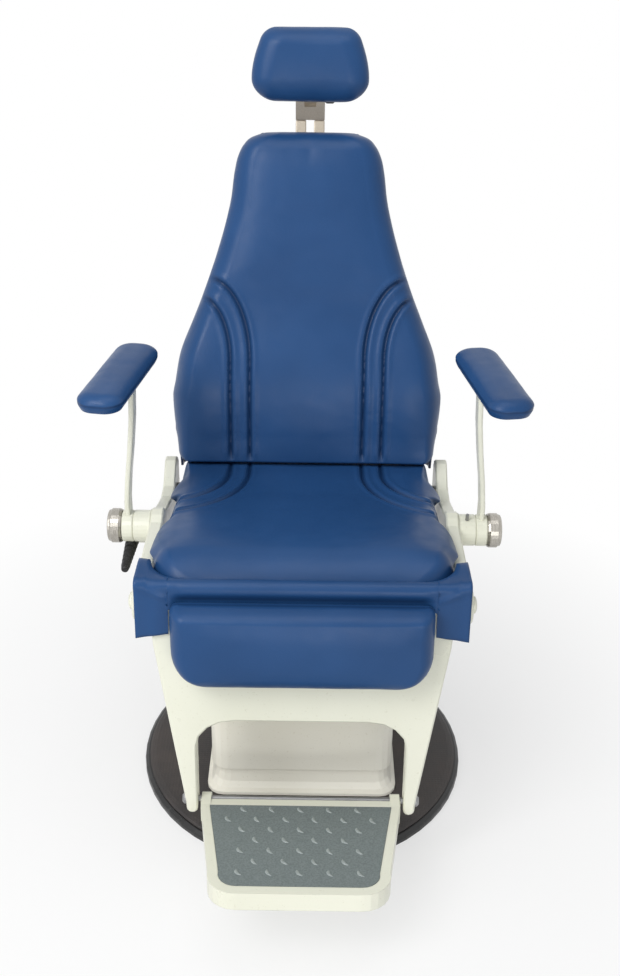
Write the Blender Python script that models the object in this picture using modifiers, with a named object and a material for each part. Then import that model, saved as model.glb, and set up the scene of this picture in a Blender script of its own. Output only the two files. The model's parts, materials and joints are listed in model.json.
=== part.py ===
"""Ear nose and throat treatment chair: round base, lift column, swivel seat, coupled backrest and legrest."""
import math

import bmesh
import bpy
import numpy as np
from mathutils import Matrix, Vector

# Driving dimensions, in metres and radians. X is the width, the front faces -Y, Z is up.
GAP = 0.0003

BASE_RADIUS = 0.300
BASE_THICKNESS = 0.016
MAT_THICKNESS = 0.006

COLUMN_WIDTH = 0.326
COLUMN_DEPTH = 0.280
COLUMN_CORNER = 0.030
SLEEVE_WALL = 0.004
SLEEVE_BOTTOM = 0.075
SEAT_HEIGHT = 0.500
SLEEVE_TOP = SEAT_HEIGHT - 0.148
LIFT_OVERLAP = 0.055
LIFT_TRAVEL = SLEEVE_TOP - SLEEVE_BOTTOM - LIFT_OVERLAP - 0.022
SKIRT_HEIGHT = 0.038
SKIRT_FLARE = 0.014

RING_RADIUS = 0.110
RING_HEIGHT = 0.0125

SEAT_TILT = math.radians(6.0)
SEAT_HALF_FRONT = 0.2410
SEAT_HALF_REAR = SEAT_HALF_FRONT - 0.013
RAIL_INNER = SEAT_HALF_FRONT + 0.002
RAIL_THICKNESS = 0.022
RAIL_DEPTH = 0.100
RAIL_REAR_RISE = 0.045
BACK_PIVOT_U = 0.215
LEG_PIVOT_U = -0.240
PIVOT_W = -0.020
TUBE_RADIUS = 0.012
PAN_FRONT = -0.200
PAN_REAR = 0.185
PAN_TOP = -0.0255
PAN_THICKNESS = 0.014

SEAT_CUSHION_HEIGHT = 0.075
SEAT_CUSHION_FRONT = -0.236
SEAT_CUSHION_REAR = 0.197
SEAT_CORNER = 0.062
SEAM_INNER = 0.103
SEAM_OUTER = 0.138
SEAM_RADIUS = 0.0042

BACK_LEAN = math.radians(15.0)
BACK_START = 0.0565
BACK_LENGTH = 0.5975
BACK_TOP = BACK_START + BACK_LENGTH
BACK_HALF_WIDTH = 0.2475
BACK_CUSHION_DEPTH = 0.0665
LUMBAR_BULGE = 0.020
BACK_BOARD_THICKNESS = 0.012
SHELL_DEPTH = 0.047
RECLINE_RANGE = math.radians(75.0)

LEVER_LENGTH = 0.050
LEVER_PIN = 0.006
ACTUATOR_X = 0.100

HEAD_BAR_WIDTH = 0.019
HEAD_BAR_THICKNESS = 0.008
HEAD_BAR_GAP = 0.014
HEAD_HALF_WIDTH = 0.102
HEAD_HEIGHT = 0.123
HEAD_DEPTH = 0.058
HEAD_PIVOT_T = BACK_TOP + 0.062
HEAD_GUIDE_LENGTH = 0.110
HEAD_PIVOT_D = 0.012
HEAD_TILT = math.radians(10.0)

LEG_HALF_TOP = SEAT_HALF_FRONT + 0.0037
LEG_HALF_PIVOT = RAIL_INNER - 0.003
LEG_TAPER = 0.148
LEG_FRONT = -0.018
LEG_DEPTH = 0.034
LEG_WALL = 0.0035
LEG_TOP = 0.012
LEG_EYE = 0.016
LEG_RELIEF = 0.002
LEG_LENGTH = 0.389
LEG_ARCH_TOP = 0.535 * LEG_LENGTH
LEG_INNER = LEG_HALF_TOP - 0.0737
CALF_HALF = LEG_HALF_TOP - 0.0407
CALF_TOP = 0.013
CALF_BOTTOM = -0.127
CALF_DEPTH = 0.054
HEM_W = -0.024

FOOT_PIVOT_W = 0.017 - LEG_LENGTH
FOOT_LENGTH = 0.227
FOOT_HALF_BACK = LEG_INNER - 0.004
FOOT_HALF_FRONT = FOOT_HALF_BACK - 0.030
FOOT_THICKNESS = 0.031
FOOT_TOP = 0.006
FOOT_RIM = 0.0166
FOOT_CORNER = 0.045

ARM_AXIS_Z = SEAT_HEIGHT - 0.001
ARM_HUB_RADIUS = 0.0275
ARM_KNOB_RADIUS = 0.030
ARM_COLLAR_WIDTH = 0.030
ARM_HUB_WIDTH = 0.020
ARM_KNOB_WIDTH = 0.024
ARM_PAD_TOP = ARM_AXIS_Z + 0.307
ARM_PAD_LENGTH = 0.246
ARM_PAD_WIDTH = 0.075
ARM_PAD_HEIGHT = 0.030
ARM_PAD_X = RAIL_INNER + RAIL_THICKNESS + 0.0355
ARM_SPLAY = math.radians(9.0)

LOCK_Y = 0.056
LOCK_Z = SEAT_HEIGHT - 0.052
LOCK_REACH = 0.035
GRIP_LENGTH = 0.112

for old in list(bpy.data.objects):
    bpy.data.objects.remove(old, do_unlink=True)

PARTS = bpy.data.collections.new("ent_chair")
CUTTERS = bpy.data.collections.new("cutters")
bpy.context.scene.collection.children.link(PARTS)
bpy.context.scene.collection.children.link(CUTTERS)

CREAM = (0.78, 0.79, 0.66)
BLUE = (0.024, 0.076, 0.220)
STEEL = (0.45, 0.45, 0.46)
BLACK = (0.012, 0.012, 0.014)
WOOD = (0.20, 0.13, 0.07)

# Frames: the seat datum, the backrest pivot, the legrest pivot and the footrest hinge.
SEAT = Matrix.Translation((0, 0, SEAT_HEIGHT)) @ Matrix.Rotation(-SEAT_TILT, 4, "X")
BACK_POINT = SEAT @ Vector((0, BACK_PIVOT_U, PIVOT_W))
LEG_POINT = SEAT @ Vector((0, LEG_PIVOT_U, PIVOT_W))
BACK = Matrix.Translation(BACK_POINT) @ Matrix.Rotation(-BACK_LEAN, 4, "X")
LEG = Matrix.Translation(LEG_POINT) @ Matrix.Rotation(-SEAT_TILT, 4, "X")
FOOT = LEG @ Matrix.Translation((0, 0, FOOT_PIVOT_W))
FOOT_POINT = FOOT.translation.copy()
LEVER_TURN = RECLINE_RANGE / 2
LEVER_U = LEVER_LENGTH * math.sin(LEVER_TURN)
LEVER_W = -LEVER_LENGTH * math.cos(LEVER_TURN)
LINK_POINT = SEAT @ Vector((0, BACK_PIVOT_U + LEVER_U, PIVOT_W + LEVER_W))
HEAD_POINT = BACK @ Vector((0, HEAD_PIVOT_D, HEAD_PIVOT_T))
HEAD = Matrix.Translation(HEAD_POINT) @ Matrix.Rotation(HEAD_TILT - BACK_LEAN, 4, "X")
ARM_HUB_INNER = RAIL_INNER + RAIL_THICKNESS + ARM_COLLAR_WIDTH + GAP
ARM_HUB_OUTER = ARM_HUB_INNER + ARM_HUB_WIDTH
ARM_KNOB_OUTER = ARM_HUB_OUTER + GAP + ARM_KNOB_WIDTH
HALF_OUT = RAIL_INNER + RAIL_THICKNESS


def axis_empty(name, point, parent):
    empty = bpy.data.objects.new(name, None)
    empty.empty_display_size = 0.05
    PARTS.objects.link(empty)
    empty.location = point
    if parent is not None:
        empty.parent = parent
        empty.matrix_parent_inverse = Matrix.Translation(-AXIS_POINTS[parent.name])
    AXIS_POINTS[name] = Vector(point)
    return empty


AXIS_POINTS = {}
BASE_AXIS = axis_empty("base_axis", (0, 0, 0), None)
LIFT_AXIS = axis_empty("lift_axis", (0, 0, SLEEVE_BOTTOM), BASE_AXIS)
SEAT_AXIS = axis_empty("seat_axis", (0, 0, SLEEVE_TOP), LIFT_AXIS)
BACK_AXIS = axis_empty("back_axis", BACK_POINT, SEAT_AXIS)
LEG_AXIS = axis_empty("leg_axis", LEG_POINT, SEAT_AXIS)
FOOT_AXIS = axis_empty("foot_axis", FOOT_POINT, LEG_AXIS)
LINK_AXIS = axis_empty("link_axis", LINK_POINT, BACK_AXIS)
ROD_AXIS = axis_empty("rod_axis", LINK_POINT, SEAT_AXIS)
POST_AXIS = axis_empty("post_axis", HEAD_POINT, BACK_AXIS)
HEAD_AXIS = axis_empty("head_axis", HEAD_POINT, POST_AXIS)
HEAD_KNOB_AXIS = axis_empty("head_knob_axis", HEAD_POINT, POST_AXIS)
LOCK_AXIS = axis_empty("lock_axis", (-HALF_OUT, LOCK_Y, LOCK_Z), SEAT_AXIS)
ARM_AXES = {}
KNOB_AXES = {}
for side_name, side_sign in (("left", -1), ("right", 1)):
    hub_point = (side_sign * ARM_HUB_INNER, 0, ARM_AXIS_Z)
    knob_point = (side_sign * ARM_HUB_OUTER, 0, ARM_AXIS_Z)
    ARM_AXES[side_name] = axis_empty("arm_axis_" + side_name, hub_point, SEAT_AXIS)
    KNOB_AXES[side_name] = axis_empty("knob_axis_" + side_name, knob_point, SEAT_AXIS)


def add(name, mesh, parent, frame, colour=STEEL, rough=0.4, metal=0.0, cutter=False):
    obj = bpy.data.objects.new(name, mesh)
    (CUTTERS if cutter else PARTS).objects.link(obj)
    obj.parent = parent
    obj.matrix_parent_inverse = Matrix.Translation(-AXIS_POINTS[parent.name])
    obj.matrix_basis = frame
    if cutter:
        obj.hide_render = True
        obj.display_type = "WIRE"
        return obj
    paint = bpy.data.materials.new(name)
    paint.use_nodes = True
    shader = paint.node_tree.nodes["Principled BSDF"]
    shader.inputs["Base Color"].default_value = (*colour, 1.0)
    shader.inputs["Roughness"].default_value = rough
    shader.inputs["Metallic"].default_value = metal
    mesh.materials.append(paint)
    return obj


def combine(obj, other, operation="DIFFERENCE"):
    step = obj.modifiers.new(operation.title(), "BOOLEAN")
    step.operation = operation
    step.solver = "EXACT"
    step.object = other
    return obj


def soften(obj, width, segments=2, angle=35):
    step = obj.modifiers.new("Bevel", "BEVEL")
    step.width = width
    step.segments = segments
    step.limit_method = "ANGLE"
    step.angle_limit = math.radians(angle)
    return obj


def finish(bm, name):
    bmesh.ops.recalc_face_normals(bm, faces=bm.faces[:])
    mesh = bpy.data.meshes.new(name)
    bm.to_mesh(mesh)
    bm.free()
    return mesh


def block(name, low, high):
    bm = bmesh.new()
    centre = [(a + b) / 2 for a, b in zip(low, high)]
    size = [b - a for a, b in zip(low, high)]
    place = Matrix.Translation(centre) @ Matrix.Diagonal((*size, 1))
    bmesh.ops.create_cube(bm, size=1, matrix=place)
    return finish(bm, name)


def prism(name, outline, low, high, plane="XZ"):
    """A closed outline drawn in one plane and extruded along the third axis from low to high."""
    bm = bmesh.new()
    order = {"XZ": (0, 2, 1), "YZ": (2, 0, 1), "XY": (0, 1, 2)}[plane]

    def slot(a, b, c):
        return [(a, b, c)[i] for i in order]

    near = [bm.verts.new(slot(a, b, low)) for a, b in outline]
    far = [bm.verts.new(slot(a, b, high)) for a, b in outline]
    bm.faces.new(near)
    bm.faces.new(far[::-1])
    for i in range(len(near)):
        j = (i + 1) % len(near)
        bm.faces.new((near[j], near[i], far[i], far[j]))
    return finish(bm, name)


def turned(name, profile, steps, parent, frame, **look):
    """A profile of radius and height points, run from top to bottom, turned about its own Z axis."""
    mesh = bpy.data.meshes.new(name)
    points = [(r, 0, z) for r, z in profile]
    edges = [(i, i + 1) for i in range(len(points) - 1)]
    if profile[0][0] > 0:
        edges.append((len(points) - 1, 0))
    mesh.from_pydata(points, edges, [])
    obj = add(name, mesh, parent, frame, **look)
    step = obj.modifiers.new("Screw", "SCREW")
    step.axis = "Z"
    step.steps = steps
    step.render_steps = steps
    step.use_merge_vertices = True
    step.merge_threshold = 0.00005
    return obj


def along_x(x, y, z, sign=1):
    """Frame whose Z axis points along +X (or -X), for turned pieces on a cross axis."""
    return Matrix.Translation((x, y, z)) @ Matrix.Rotation(sign * math.pi / 2, 4, "Y")


def rod(name, radius, start, end, sides, parent, frame, **look):
    bm = bmesh.new()
    start, end = Vector(start), Vector(end)
    run = end - start
    turn = run.to_track_quat("Z", "Y").to_matrix().to_4x4()
    place = Matrix.Translation((start + end) / 2) @ turn
    bmesh.ops.create_cone(
        bm, cap_ends=True, segments=sides, radius1=radius, radius2=radius, depth=run.length, matrix=place
    )
    return add(name, finish(bm, name), parent, frame, **look)


def swept(name, path, section):
    """Closed skin through copies of a section carried along a path; section axes are given per point."""
    bm = bmesh.new()
    rings = []
    for centre, across, up in path:
        rings.append([bm.verts.new(Vector(centre) + across * a + up * b) for a, b in section])
    for low, high in zip(rings, rings[1:]):
        for i in range(len(low)):
            j = (i + 1) % len(low)
            bm.faces.new((low[i], low[j], high[j], high[i]))
    bm.faces.new(rings[0][::-1])
    bm.faces.new(rings[-1])
    return finish(bm, name)


def stacked(name, rings):
    """Closed skin through outlines that have the same number of points."""
    bm = bmesh.new()
    rows = [[bm.verts.new(point) for point in ring] for ring in rings]
    for low, high in zip(rows, rows[1:]):
        for i in range(len(low)):
            j = (i + 1) % len(low)
            bm.faces.new((low[i], low[j], high[j], high[i]))
    bm.faces.new(rows[0][::-1])
    bm.faces.new(rows[-1])
    return finish(bm, name)


def arc(cx, cy, radius, start, end, count):
    """Points of an arc in degrees, ends included."""
    turns = np.radians(np.linspace(start, end, count))
    return [(cx + radius * math.cos(t), cy + radius * math.sin(t)) for t in turns]


def rounded(half_x, half_y, radius, count=5):
    out = []
    for sx, sy, start in ((1, 1, 0), (-1, 1, 90), (-1, -1, 180), (1, -1, 270)):
        out += arc(sx * (half_x - radius), sy * (half_y - radius), radius, start, start + 90, count)
    return out


def smooth(xs, ys, x):
    """Monotone cubic through the given stations."""
    xs, ys = np.asarray(xs, float), np.asarray(ys, float)
    slope = np.diff(ys) / np.diff(xs)
    tangent = np.concatenate(([slope[0]], (slope[1:] + slope[:-1]) / 2, [slope[-1]]))
    flat = slope[1:] * slope[:-1] <= 0
    tangent[1:-1][flat] = 0
    x = np.clip(x, xs[0], xs[-1])
    i = np.clip(np.searchsorted(xs, x) - 1, 0, len(xs) - 2)
    h = xs[i + 1] - xs[i]
    t = (x - xs[i]) / h
    first = (2 * t**3 - 3 * t**2 + 1) * ys[i] + (t**3 - 2 * t**2 + t) * h * tangent[i]
    return float(first + (-2 * t**3 + 3 * t**2) * ys[i + 1] + (t**3 - t**2) * h * tangent[i + 1])


def corner(distance, radius):
    """How far a corner of this radius draws the outline in, at a distance from the end."""
    if distance >= radius:
        return 0.0
    return radius - math.sqrt(max(0.0, radius**2 - (radius - distance) ** 2))


def shoulder(distance, radius):
    """Quarter-round rise from the rim: 0 at the rim, 1 past the radius."""
    if distance >= radius:
        return 1.0
    return math.sqrt(max(0.0, 1 - (1 - distance / radius) ** 2))


class Pad:
    """Upholstered form: crowned face over an outline, sides drawn in to a smaller flat back."""

    def __init__(self, length, half, height, side, start, end, crown=0.0, extra=None, rim=0.3,
                 inset=0.006, front_inset=None):
        self.length, self.half, self.height = length, half, height
        self.side, self.start, self.end = side, start, end
        self.crown, self.extra, self.rim, self.inset = crown, extra, rim, inset
        self.front_inset = inset if front_inset is None else front_inset

    def rise(self, x, run):
        half = self.half(run)
        edge = half - abs(x)
        ends = shoulder(run, self.start) * shoulder(self.length - run, self.end)
        lift = shoulder(edge, self.side) * ends
        base = self.height * self.rim
        top = self.height - base
        middle = self.crown * (1 - min(1, abs(x) / half) ** 2) * math.sin(math.pi * run / self.length)
        if self.extra:
            middle += self.extra(x, run)
        return base + (top + middle) * lift

    def mesh(self, name, place, columns, rows):
        """Grid face, a drawn-in side band and a flat back, placed by place(x, run, height)."""
        bm = bmesh.new()
        edge = [0.0, 0.12, 0.42, 1.0]
        runs = [self.start * e for e in edge]
        inner = np.linspace(self.start, self.length - self.end, rows + 1)[1:-1]
        runs += list(inner) + [self.length - self.end * e for e in edge[::-1]]
        grid = []
        for run in runs:
            half = self.half(run)
            side = min(self.side, half * 0.8)
            xs = [half - side * e for e in edge]
            xs += list(np.linspace(half - side, -(half - side), columns + 1)[1:-1])
            xs += [-(half - side * e) for e in edge[::-1]]
            grid.append([(x, run) for x in xs])
        verts = [[bm.verts.new(place(x, run, self.rise(x, run))) for x, run in line] for line in grid]
        for a, b in zip(verts, verts[1:]):
            for i in range(len(a) - 1):
                bm.faces.new((a[i], a[i + 1], b[i + 1], b[i]))
        across, down = len(grid[0]), len(grid)
        loop = [(0, i) for i in range(across)] + [(j, across - 1) for j in range(1, down)]
        loop += [(down - 1, i) for i in range(across - 2, -1, -1)] + [(j, 0) for j in range(down - 2, 0, -1)]
        flat = [Vector(grid[j][i]) for j, i in loop]
        rim = [verts[j][i] for j, i in loop]
        back = []
        for k, here in enumerate(flat):
            tangent = flat[(k + 1) % len(flat)] - flat[k - 1]
            inward = Vector((-tangent.y, tangent.x)).normalized()
            if inward.dot(Vector((0, self.length / 2)) - here) < 0:
                inward = -inward
            share = min(1.0, max(0.0, here.y / self.length * 4 - 3))
            point = here + inward * (self.inset + (self.front_inset - self.inset) * share)
            back.append(bm.verts.new(place(point.x, point.y, 0.0)))
        for k in range(len(rim)):
            n = (k + 1) % len(rim)
            bm.faces.new((rim[n], rim[k], back[k], back[n]))
        bm.faces.new(back)
        return finish(bm, name)

    def seam(self, name, place, path, parent, frame, sides=6):
        """Round groove cutter that follows the face along a path of x and run."""
        points = []
        for x, run in path:
            near = min(max(run, 0.010), self.length - 0.010)
            limit = self.half(near) - 0.010
            points.append(Vector(place(x, run, self.rise(min(max(x, -limit), limit), near))))
        out = Vector(place(0, 0, 1)) - Vector(place(0, 0, 0))
        line = []
        for k, here in enumerate(points):
            ahead = points[min(k + 1, len(points) - 1)] - points[max(k - 1, 0)]
            across = ahead.cross(out).normalized()
            line.append((here, across, across.cross(ahead).normalized()))
        turns = [2 * math.pi * i / sides for i in range(sides)]
        ring = [(SEAM_RADIUS * math.cos(t), SEAM_RADIUS * math.sin(t)) for t in turns]
        return add(name, swept(name, line, ring), parent, frame, cutter=True)


def make_base():
    r, h = BASE_RADIUS, BASE_THICKNESS
    edge = [(0, h), (r - 0.006, h), (r - 0.001, h - 0.004), (r, h - 0.008), (r, 0.002), (r - 0.002, 0)]
    edge += [(0, 0)]
    turned("base_plate", edge, 56, BASE_AXIS, Matrix.Identity(4), colour=BLACK, rough=0.35, metal=0.4)
    low, top, m = h + GAP, h + MAT_THICKNESS, r - 0.009
    mat = [(0, top), (m - 0.012, top), (m - 0.004, top - 0.002), (m, low + 0.0015), (m, low), (0, low)]
    turned("base_mat", mat, 56, BASE_AXIS, Matrix.Identity(4), colour=BLACK, rough=0.5)


def sleeve_skin(name, rows, wall, bottom, top, parent, closed):
    """Box sleeve: outer skin through rounded rows, hollowed by a smaller copy."""
    bm = bmesh.new()
    rings = []
    for half_x, half_y, z in rows:
        rings.append([bm.verts.new((x, y, z)) for x, y in rounded(half_x, half_y, COLUMN_CORNER)])
    for low, high in zip(rings, rings[1:]):
        for i in range(len(low)):
            j = (i + 1) % len(low)
            bm.faces.new((low[i], low[j], high[j], high[i]))
    bm.faces.new(rings[0][::-1])
    bm.faces.new(rings[-1])
    obj = add(name, finish(bm, name), parent, Matrix.Identity(4), colour=CREAM, rough=0.4)
    half_x, half_y, _ = rows[-1]
    inner = rounded(half_x - wall, half_y - wall, COLUMN_CORNER - wall)
    hollow = prism(name + "_hollow", inner, bottom - 0.01, top - wall if closed else top + 0.01, "XY")
    combine(obj, add(name + "_hollow", hollow, parent, Matrix.Identity(4), cutter=True))
    return obj


def make_column():
    floor = BASE_THICKNESS + MAT_THICKNESS + GAP
    slide = SLEEVE_WALL + 0.0012
    in_x, in_y = COLUMN_WIDTH / 2 - slide, COLUMN_DEPTH / 2 - slide
    lower_top = SLEEVE_BOTTOM + LIFT_TRAVEL + LIFT_OVERLAP
    flare = SKIRT_FLARE
    rows = [(in_x + flare, in_y + flare, floor), (in_x + flare, in_y + flare, floor + 0.006)]
    for turn in (30, 60, 90):
        out = flare * (1 - math.sin(math.radians(turn)))
        rise = 0.006 + (SKIRT_HEIGHT - 0.006) * (1 - math.cos(math.radians(turn)))
        rows.append((in_x + out, in_y + out, floor + rise))
    rows.append((in_x, in_y, lower_top))
    sleeve_skin("lower_sleeve", rows, SLEEVE_WALL, floor, lower_top, BASE_AXIS, False)
    out_x, out_y = COLUMN_WIDTH / 2, COLUMN_DEPTH / 2
    upper = sleeve_skin(
        "upper_sleeve",
        [(out_x, out_y, SLEEVE_BOTTOM), (out_x, out_y, SLEEVE_TOP)],
        SLEEVE_WALL, SLEEVE_BOTTOM, SLEEVE_TOP, LIFT_AXIS, True,
    )
    hole = rod("sleeve_bore", 0.042, (0, 0, SLEEVE_TOP - 0.02), (0, 0, SLEEVE_TOP + 0.02), 24,
               LIFT_AXIS, Matrix.Identity(4), cutter=True)
    combine(upper, hole)
    tube_top = SLEEVE_BOTTOM + LIFT_TRAVEL
    tube = [(0.026, tube_top), (0.026, floor + 0.012), (0.048, floor + 0.010), (0.048, floor)]
    tube += [(0.0185, floor), (0.0185, tube_top)]
    turned("lift_actuator_tube", tube, 24, BASE_AXIS, Matrix.Translation((0, 0.074, 0)), metal=0.8)
    head = SLEEVE_TOP - SLEEVE_WALL - GAP
    stem = [(0, head), (0.036, head), (0.036, head - 0.008), (0.018, head - 0.010), (0.018, floor + 0.02),
            (0, floor + 0.02)]
    turned("lift_actuator_rod", stem, 24, LIFT_AXIS, Matrix.Translation((0, 0.074, 0)), metal=0.9)
    low = SLEEVE_TOP + GAP
    high = SLEEVE_TOP + RING_HEIGHT
    ring = [(0.040, high), (RING_RADIUS - 0.003, high), (RING_RADIUS, high - 0.003), (RING_RADIUS, low)]
    ring += [(0.040, low)]
    turned("swivel_lower_ring", ring, 32, LIFT_AXIS, Matrix.Identity(4), metal=0.7)
    base, top = high + 0.0005, high + 0.0005 + RING_HEIGHT
    table = [(0, top), (RING_RADIUS, top), (RING_RADIUS, base + 0.003), (RING_RADIUS - 0.003, base),
             (0.0392, base), (0.0392, SLEEVE_TOP - 0.003), (0, SLEEVE_TOP - 0.003)]
    turned("swivel_upper_ring", table, 32, SEAT_AXIS, Matrix.Identity(4), metal=0.7)
    return top


def make_seat_frame(table_top):
    cross_top, cross_low = -RAIL_DEPTH + 0.020, -RAIL_DEPTH - 0.005
    front, rear = (-0.135, -0.085), (0.055, 0.105)
    wedge = []
    for u in (-0.130, 0.100):
        point = SEAT @ Vector((0, u, cross_low - GAP))
        wedge.append((point.y, point.z))
    outline = [(wedge[0][0], table_top + GAP), (wedge[1][0], table_top + GAP), wedge[1], wedge[0]]
    bracket = prism("seat_base_bracket", outline, -0.085, 0.085, "YZ")
    add("seat_base_bracket", bracket, SEAT_AXIS, Matrix.Identity(4), metal=0.5)
    for name, (start, end) in (("front", front), ("rear", rear)):
        reach = RAIL_INNER - GAP
        bar = block("cross_member_" + name, (-reach, start, cross_low), (reach, end, cross_top))
        soften(add("cross_member_" + name, bar, SEAT_AXIS, SEAT, metal=0.5), 0.004, 1)
    under = PAN_TOP - PAN_THICKNESS
    for side, sign in (("left", -1), ("right", 1)):
        low, high = sorted((sign * 0.150, sign * 0.172))
        spacer = block("pan_rail_" + side, (low, -0.185, cross_top + GAP), (high, 0.160, under - GAP))
        add("pan_rail_" + side, spacer, SEAT_AXIS, SEAT, metal=0.5)
    half_r, half_f = SEAT_HALF_REAR - 0.012, SEAT_HALF_FRONT - 0.018
    pan = [(-half_r, PAN_REAR), (half_r, PAN_REAR), (half_f, PAN_FRONT + 0.02), (half_f - 0.02, PAN_FRONT),
           (-half_f + 0.02, PAN_FRONT), (-half_f, PAN_FRONT + 0.02)]
    add("seat_pan", prism("seat_pan", pan, under, PAN_TOP, "XY"), SEAT_AXIS, SEAT, colour=WOOD)
    arm = SEAT.inverted() @ Vector((0, 0, ARM_AXIS_Z))
    rail = arc(LEG_PIVOT_U + 0.010, PIVOT_W - 0.006, 0.030, 245, 105, 7)
    rail += [(LEG_PIVOT_U + 0.045, 0.0)]
    rail += arc(arm.y, arm.z, 0.032, 145, 35, 5)
    rail += [(BACK_PIVOT_U - 0.085, 0.0), (BACK_PIVOT_U - 0.050, 0.006)]
    rail += arc(BACK_PIVOT_U, RAIL_REAR_RISE - 0.026, 0.026, 150, 20, 5)
    rail += arc(BACK_PIVOT_U - 0.004, PIVOT_W - 0.012, 0.040, 330, 280, 4)
    rail += [(BACK_PIVOT_U - 0.09, -RAIL_DEPTH), (LEG_PIVOT_U + 0.085, -RAIL_DEPTH)]
    for side, sign in (("left", -1), ("right", 1)):
        low, high = sorted((sign * RAIL_INNER, sign * HALF_OUT))
        mesh = prism("side_rail_" + side, rail, low, high, "YZ")
        plate = add("side_rail_" + side, mesh, SEAT_AXIS, SEAT, colour=CREAM)
        for label, u in (("leg", LEG_PIVOT_U), ("back", BACK_PIVOT_U)):
            name = label + "_pivot_bolt_" + side
            hole = rod(name + "_hole", 0.0083, (sign * (RAIL_INNER - 0.01), u, PIVOT_W),
                       (sign * (HALF_OUT + 0.01), u, PIVOT_W), 16, SEAT_AXIS, SEAT, cutter=True)
            combine(plate, hole)
            head = HALF_OUT + GAP
            shape = [(0, head + 0.0055), (0.009, head + 0.0055), (0.0135, head + 0.003), (0.0135, head),
                     (0.008, head), (0.008, RAIL_INNER), (0, RAIL_INNER)]
            turned(name, shape, 16, SEAT_AXIS, SEAT @ along_x(0, u, PIVOT_W, sign), colour=CREAM)
        soften(plate, 0.0025, 1, 40)


def make_seat_cushion():
    length = SEAT_CUSHION_REAR - SEAT_CUSHION_FRONT

    def half(run):
        straight = SEAT_HALF_REAR + (SEAT_HALF_FRONT - SEAT_HALF_REAR) * min(1, run / (length - 0.07))
        return straight - corner(run, 0.025) - corner(length - run, SEAT_CORNER)

    def place(x, run, height):
        return x, SEAT_CUSHION_REAR - run, PAN_TOP + GAP + height

    def dish(x, run):
        return -0.004 * math.exp(-((run - 0.15) / 0.09) ** 2 - (x / 0.12) ** 2)

    pad = Pad(length, half, SEAT_CUSHION_HEIGHT - 0.004, 0.042, 0.020, 0.060, 0.008, dish, rim=0.30,
              inset=0.010, front_inset=0.021)
    cushion = add("seat_cushion", pad.mesh("seat_cushion", place, 8, 9), SEAT_AXIS, SEAT, colour=BLUE)
    for side, sign in (("left", -1), ("right", 1)):
        for label, x, reach in (("inner", SEAM_INNER, 0.222), ("outer", SEAM_OUTER, 0.172)):
            path = [(sign * x, -0.006), (sign * x, 0.022), (sign * x, 0.068)]
            for turn in (25, 50, 72, 90):
                bend = math.radians(turn)
                out = (half(reach) - x) * (1 - math.cos(bend))
                path.append((sign * (x + out), 0.068 + (reach - 0.068) * math.sin(bend)))
            path.append((sign * (half(reach) + 0.006), reach + 0.002))
            name = "seat_seam_" + label + "_" + side
            combine(cushion, pad.seam(name, place, path, SEAT_AXIS, SEAT))


def make_apron():
    """Vinyl flap over the gap between the seat front and the legrest, with an ear on each side."""
    half = HALF_OUT - 0.005
    ear = CALF_HALF + 0.0045
    wide = SEAT_HALF_FRONT
    columns = [half, wide + 0.002, wide - 0.004, wide - 0.012, 0.219, ear, ear - 0.002]
    columns += [0.195, 0.155, 0.105, 0.052, 0.0]
    columns = columns + [-x for x in columns[-2::-1]]
    frame_face = LEG_PIVOT_U + LEG_FRONT
    bm = bmesh.new()
    grid = []
    for x in columns:
        bend = SEAT_CORNER + 0.0019
        out = min(max(abs(x) - SEAT_HALF_FRONT + SEAT_CORNER, 0.0), bend)
        rear = SEAT_CUSHION_FRONT - 0.0019 + bend - math.sqrt(bend**2 - out**2)
        on_ear = abs(x) >= ear - 0.0005
        drop = -0.072 if on_ear else HEM_W
        if abs(x) > half - 0.002:
            drop = -0.062
        front = frame_face - (0.0040 if on_ear else 0.0015)
        line = [(rear, 0.004), (rear - 0.002, 0.012), (rear - 0.006, 0.0185), (front + 0.011, 0.0215)]
        line += [(front + 0.005, 0.0190), (front + 0.001, 0.0120), (front, 0.004)]
        for share in (0.35, 0.7, 1.0):
            line.append((front, 0.004 + (drop - 0.004) * share))
        grid.append([bm.verts.new((x, u, w)) for u, w in line])
    for a, b in zip(grid, grid[1:]):
        for i in range(len(a) - 1):
            bm.faces.new((a[i], b[i], b[i + 1], a[i + 1]))
    sheet = add("front_apron", finish(bm, "front_apron"), SEAT_AXIS, SEAT, colour=BLUE)
    step = sheet.modifiers.new("Solidify", "SOLIDIFY")
    step.thickness = 0.0024
    step.offset = 0


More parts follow.
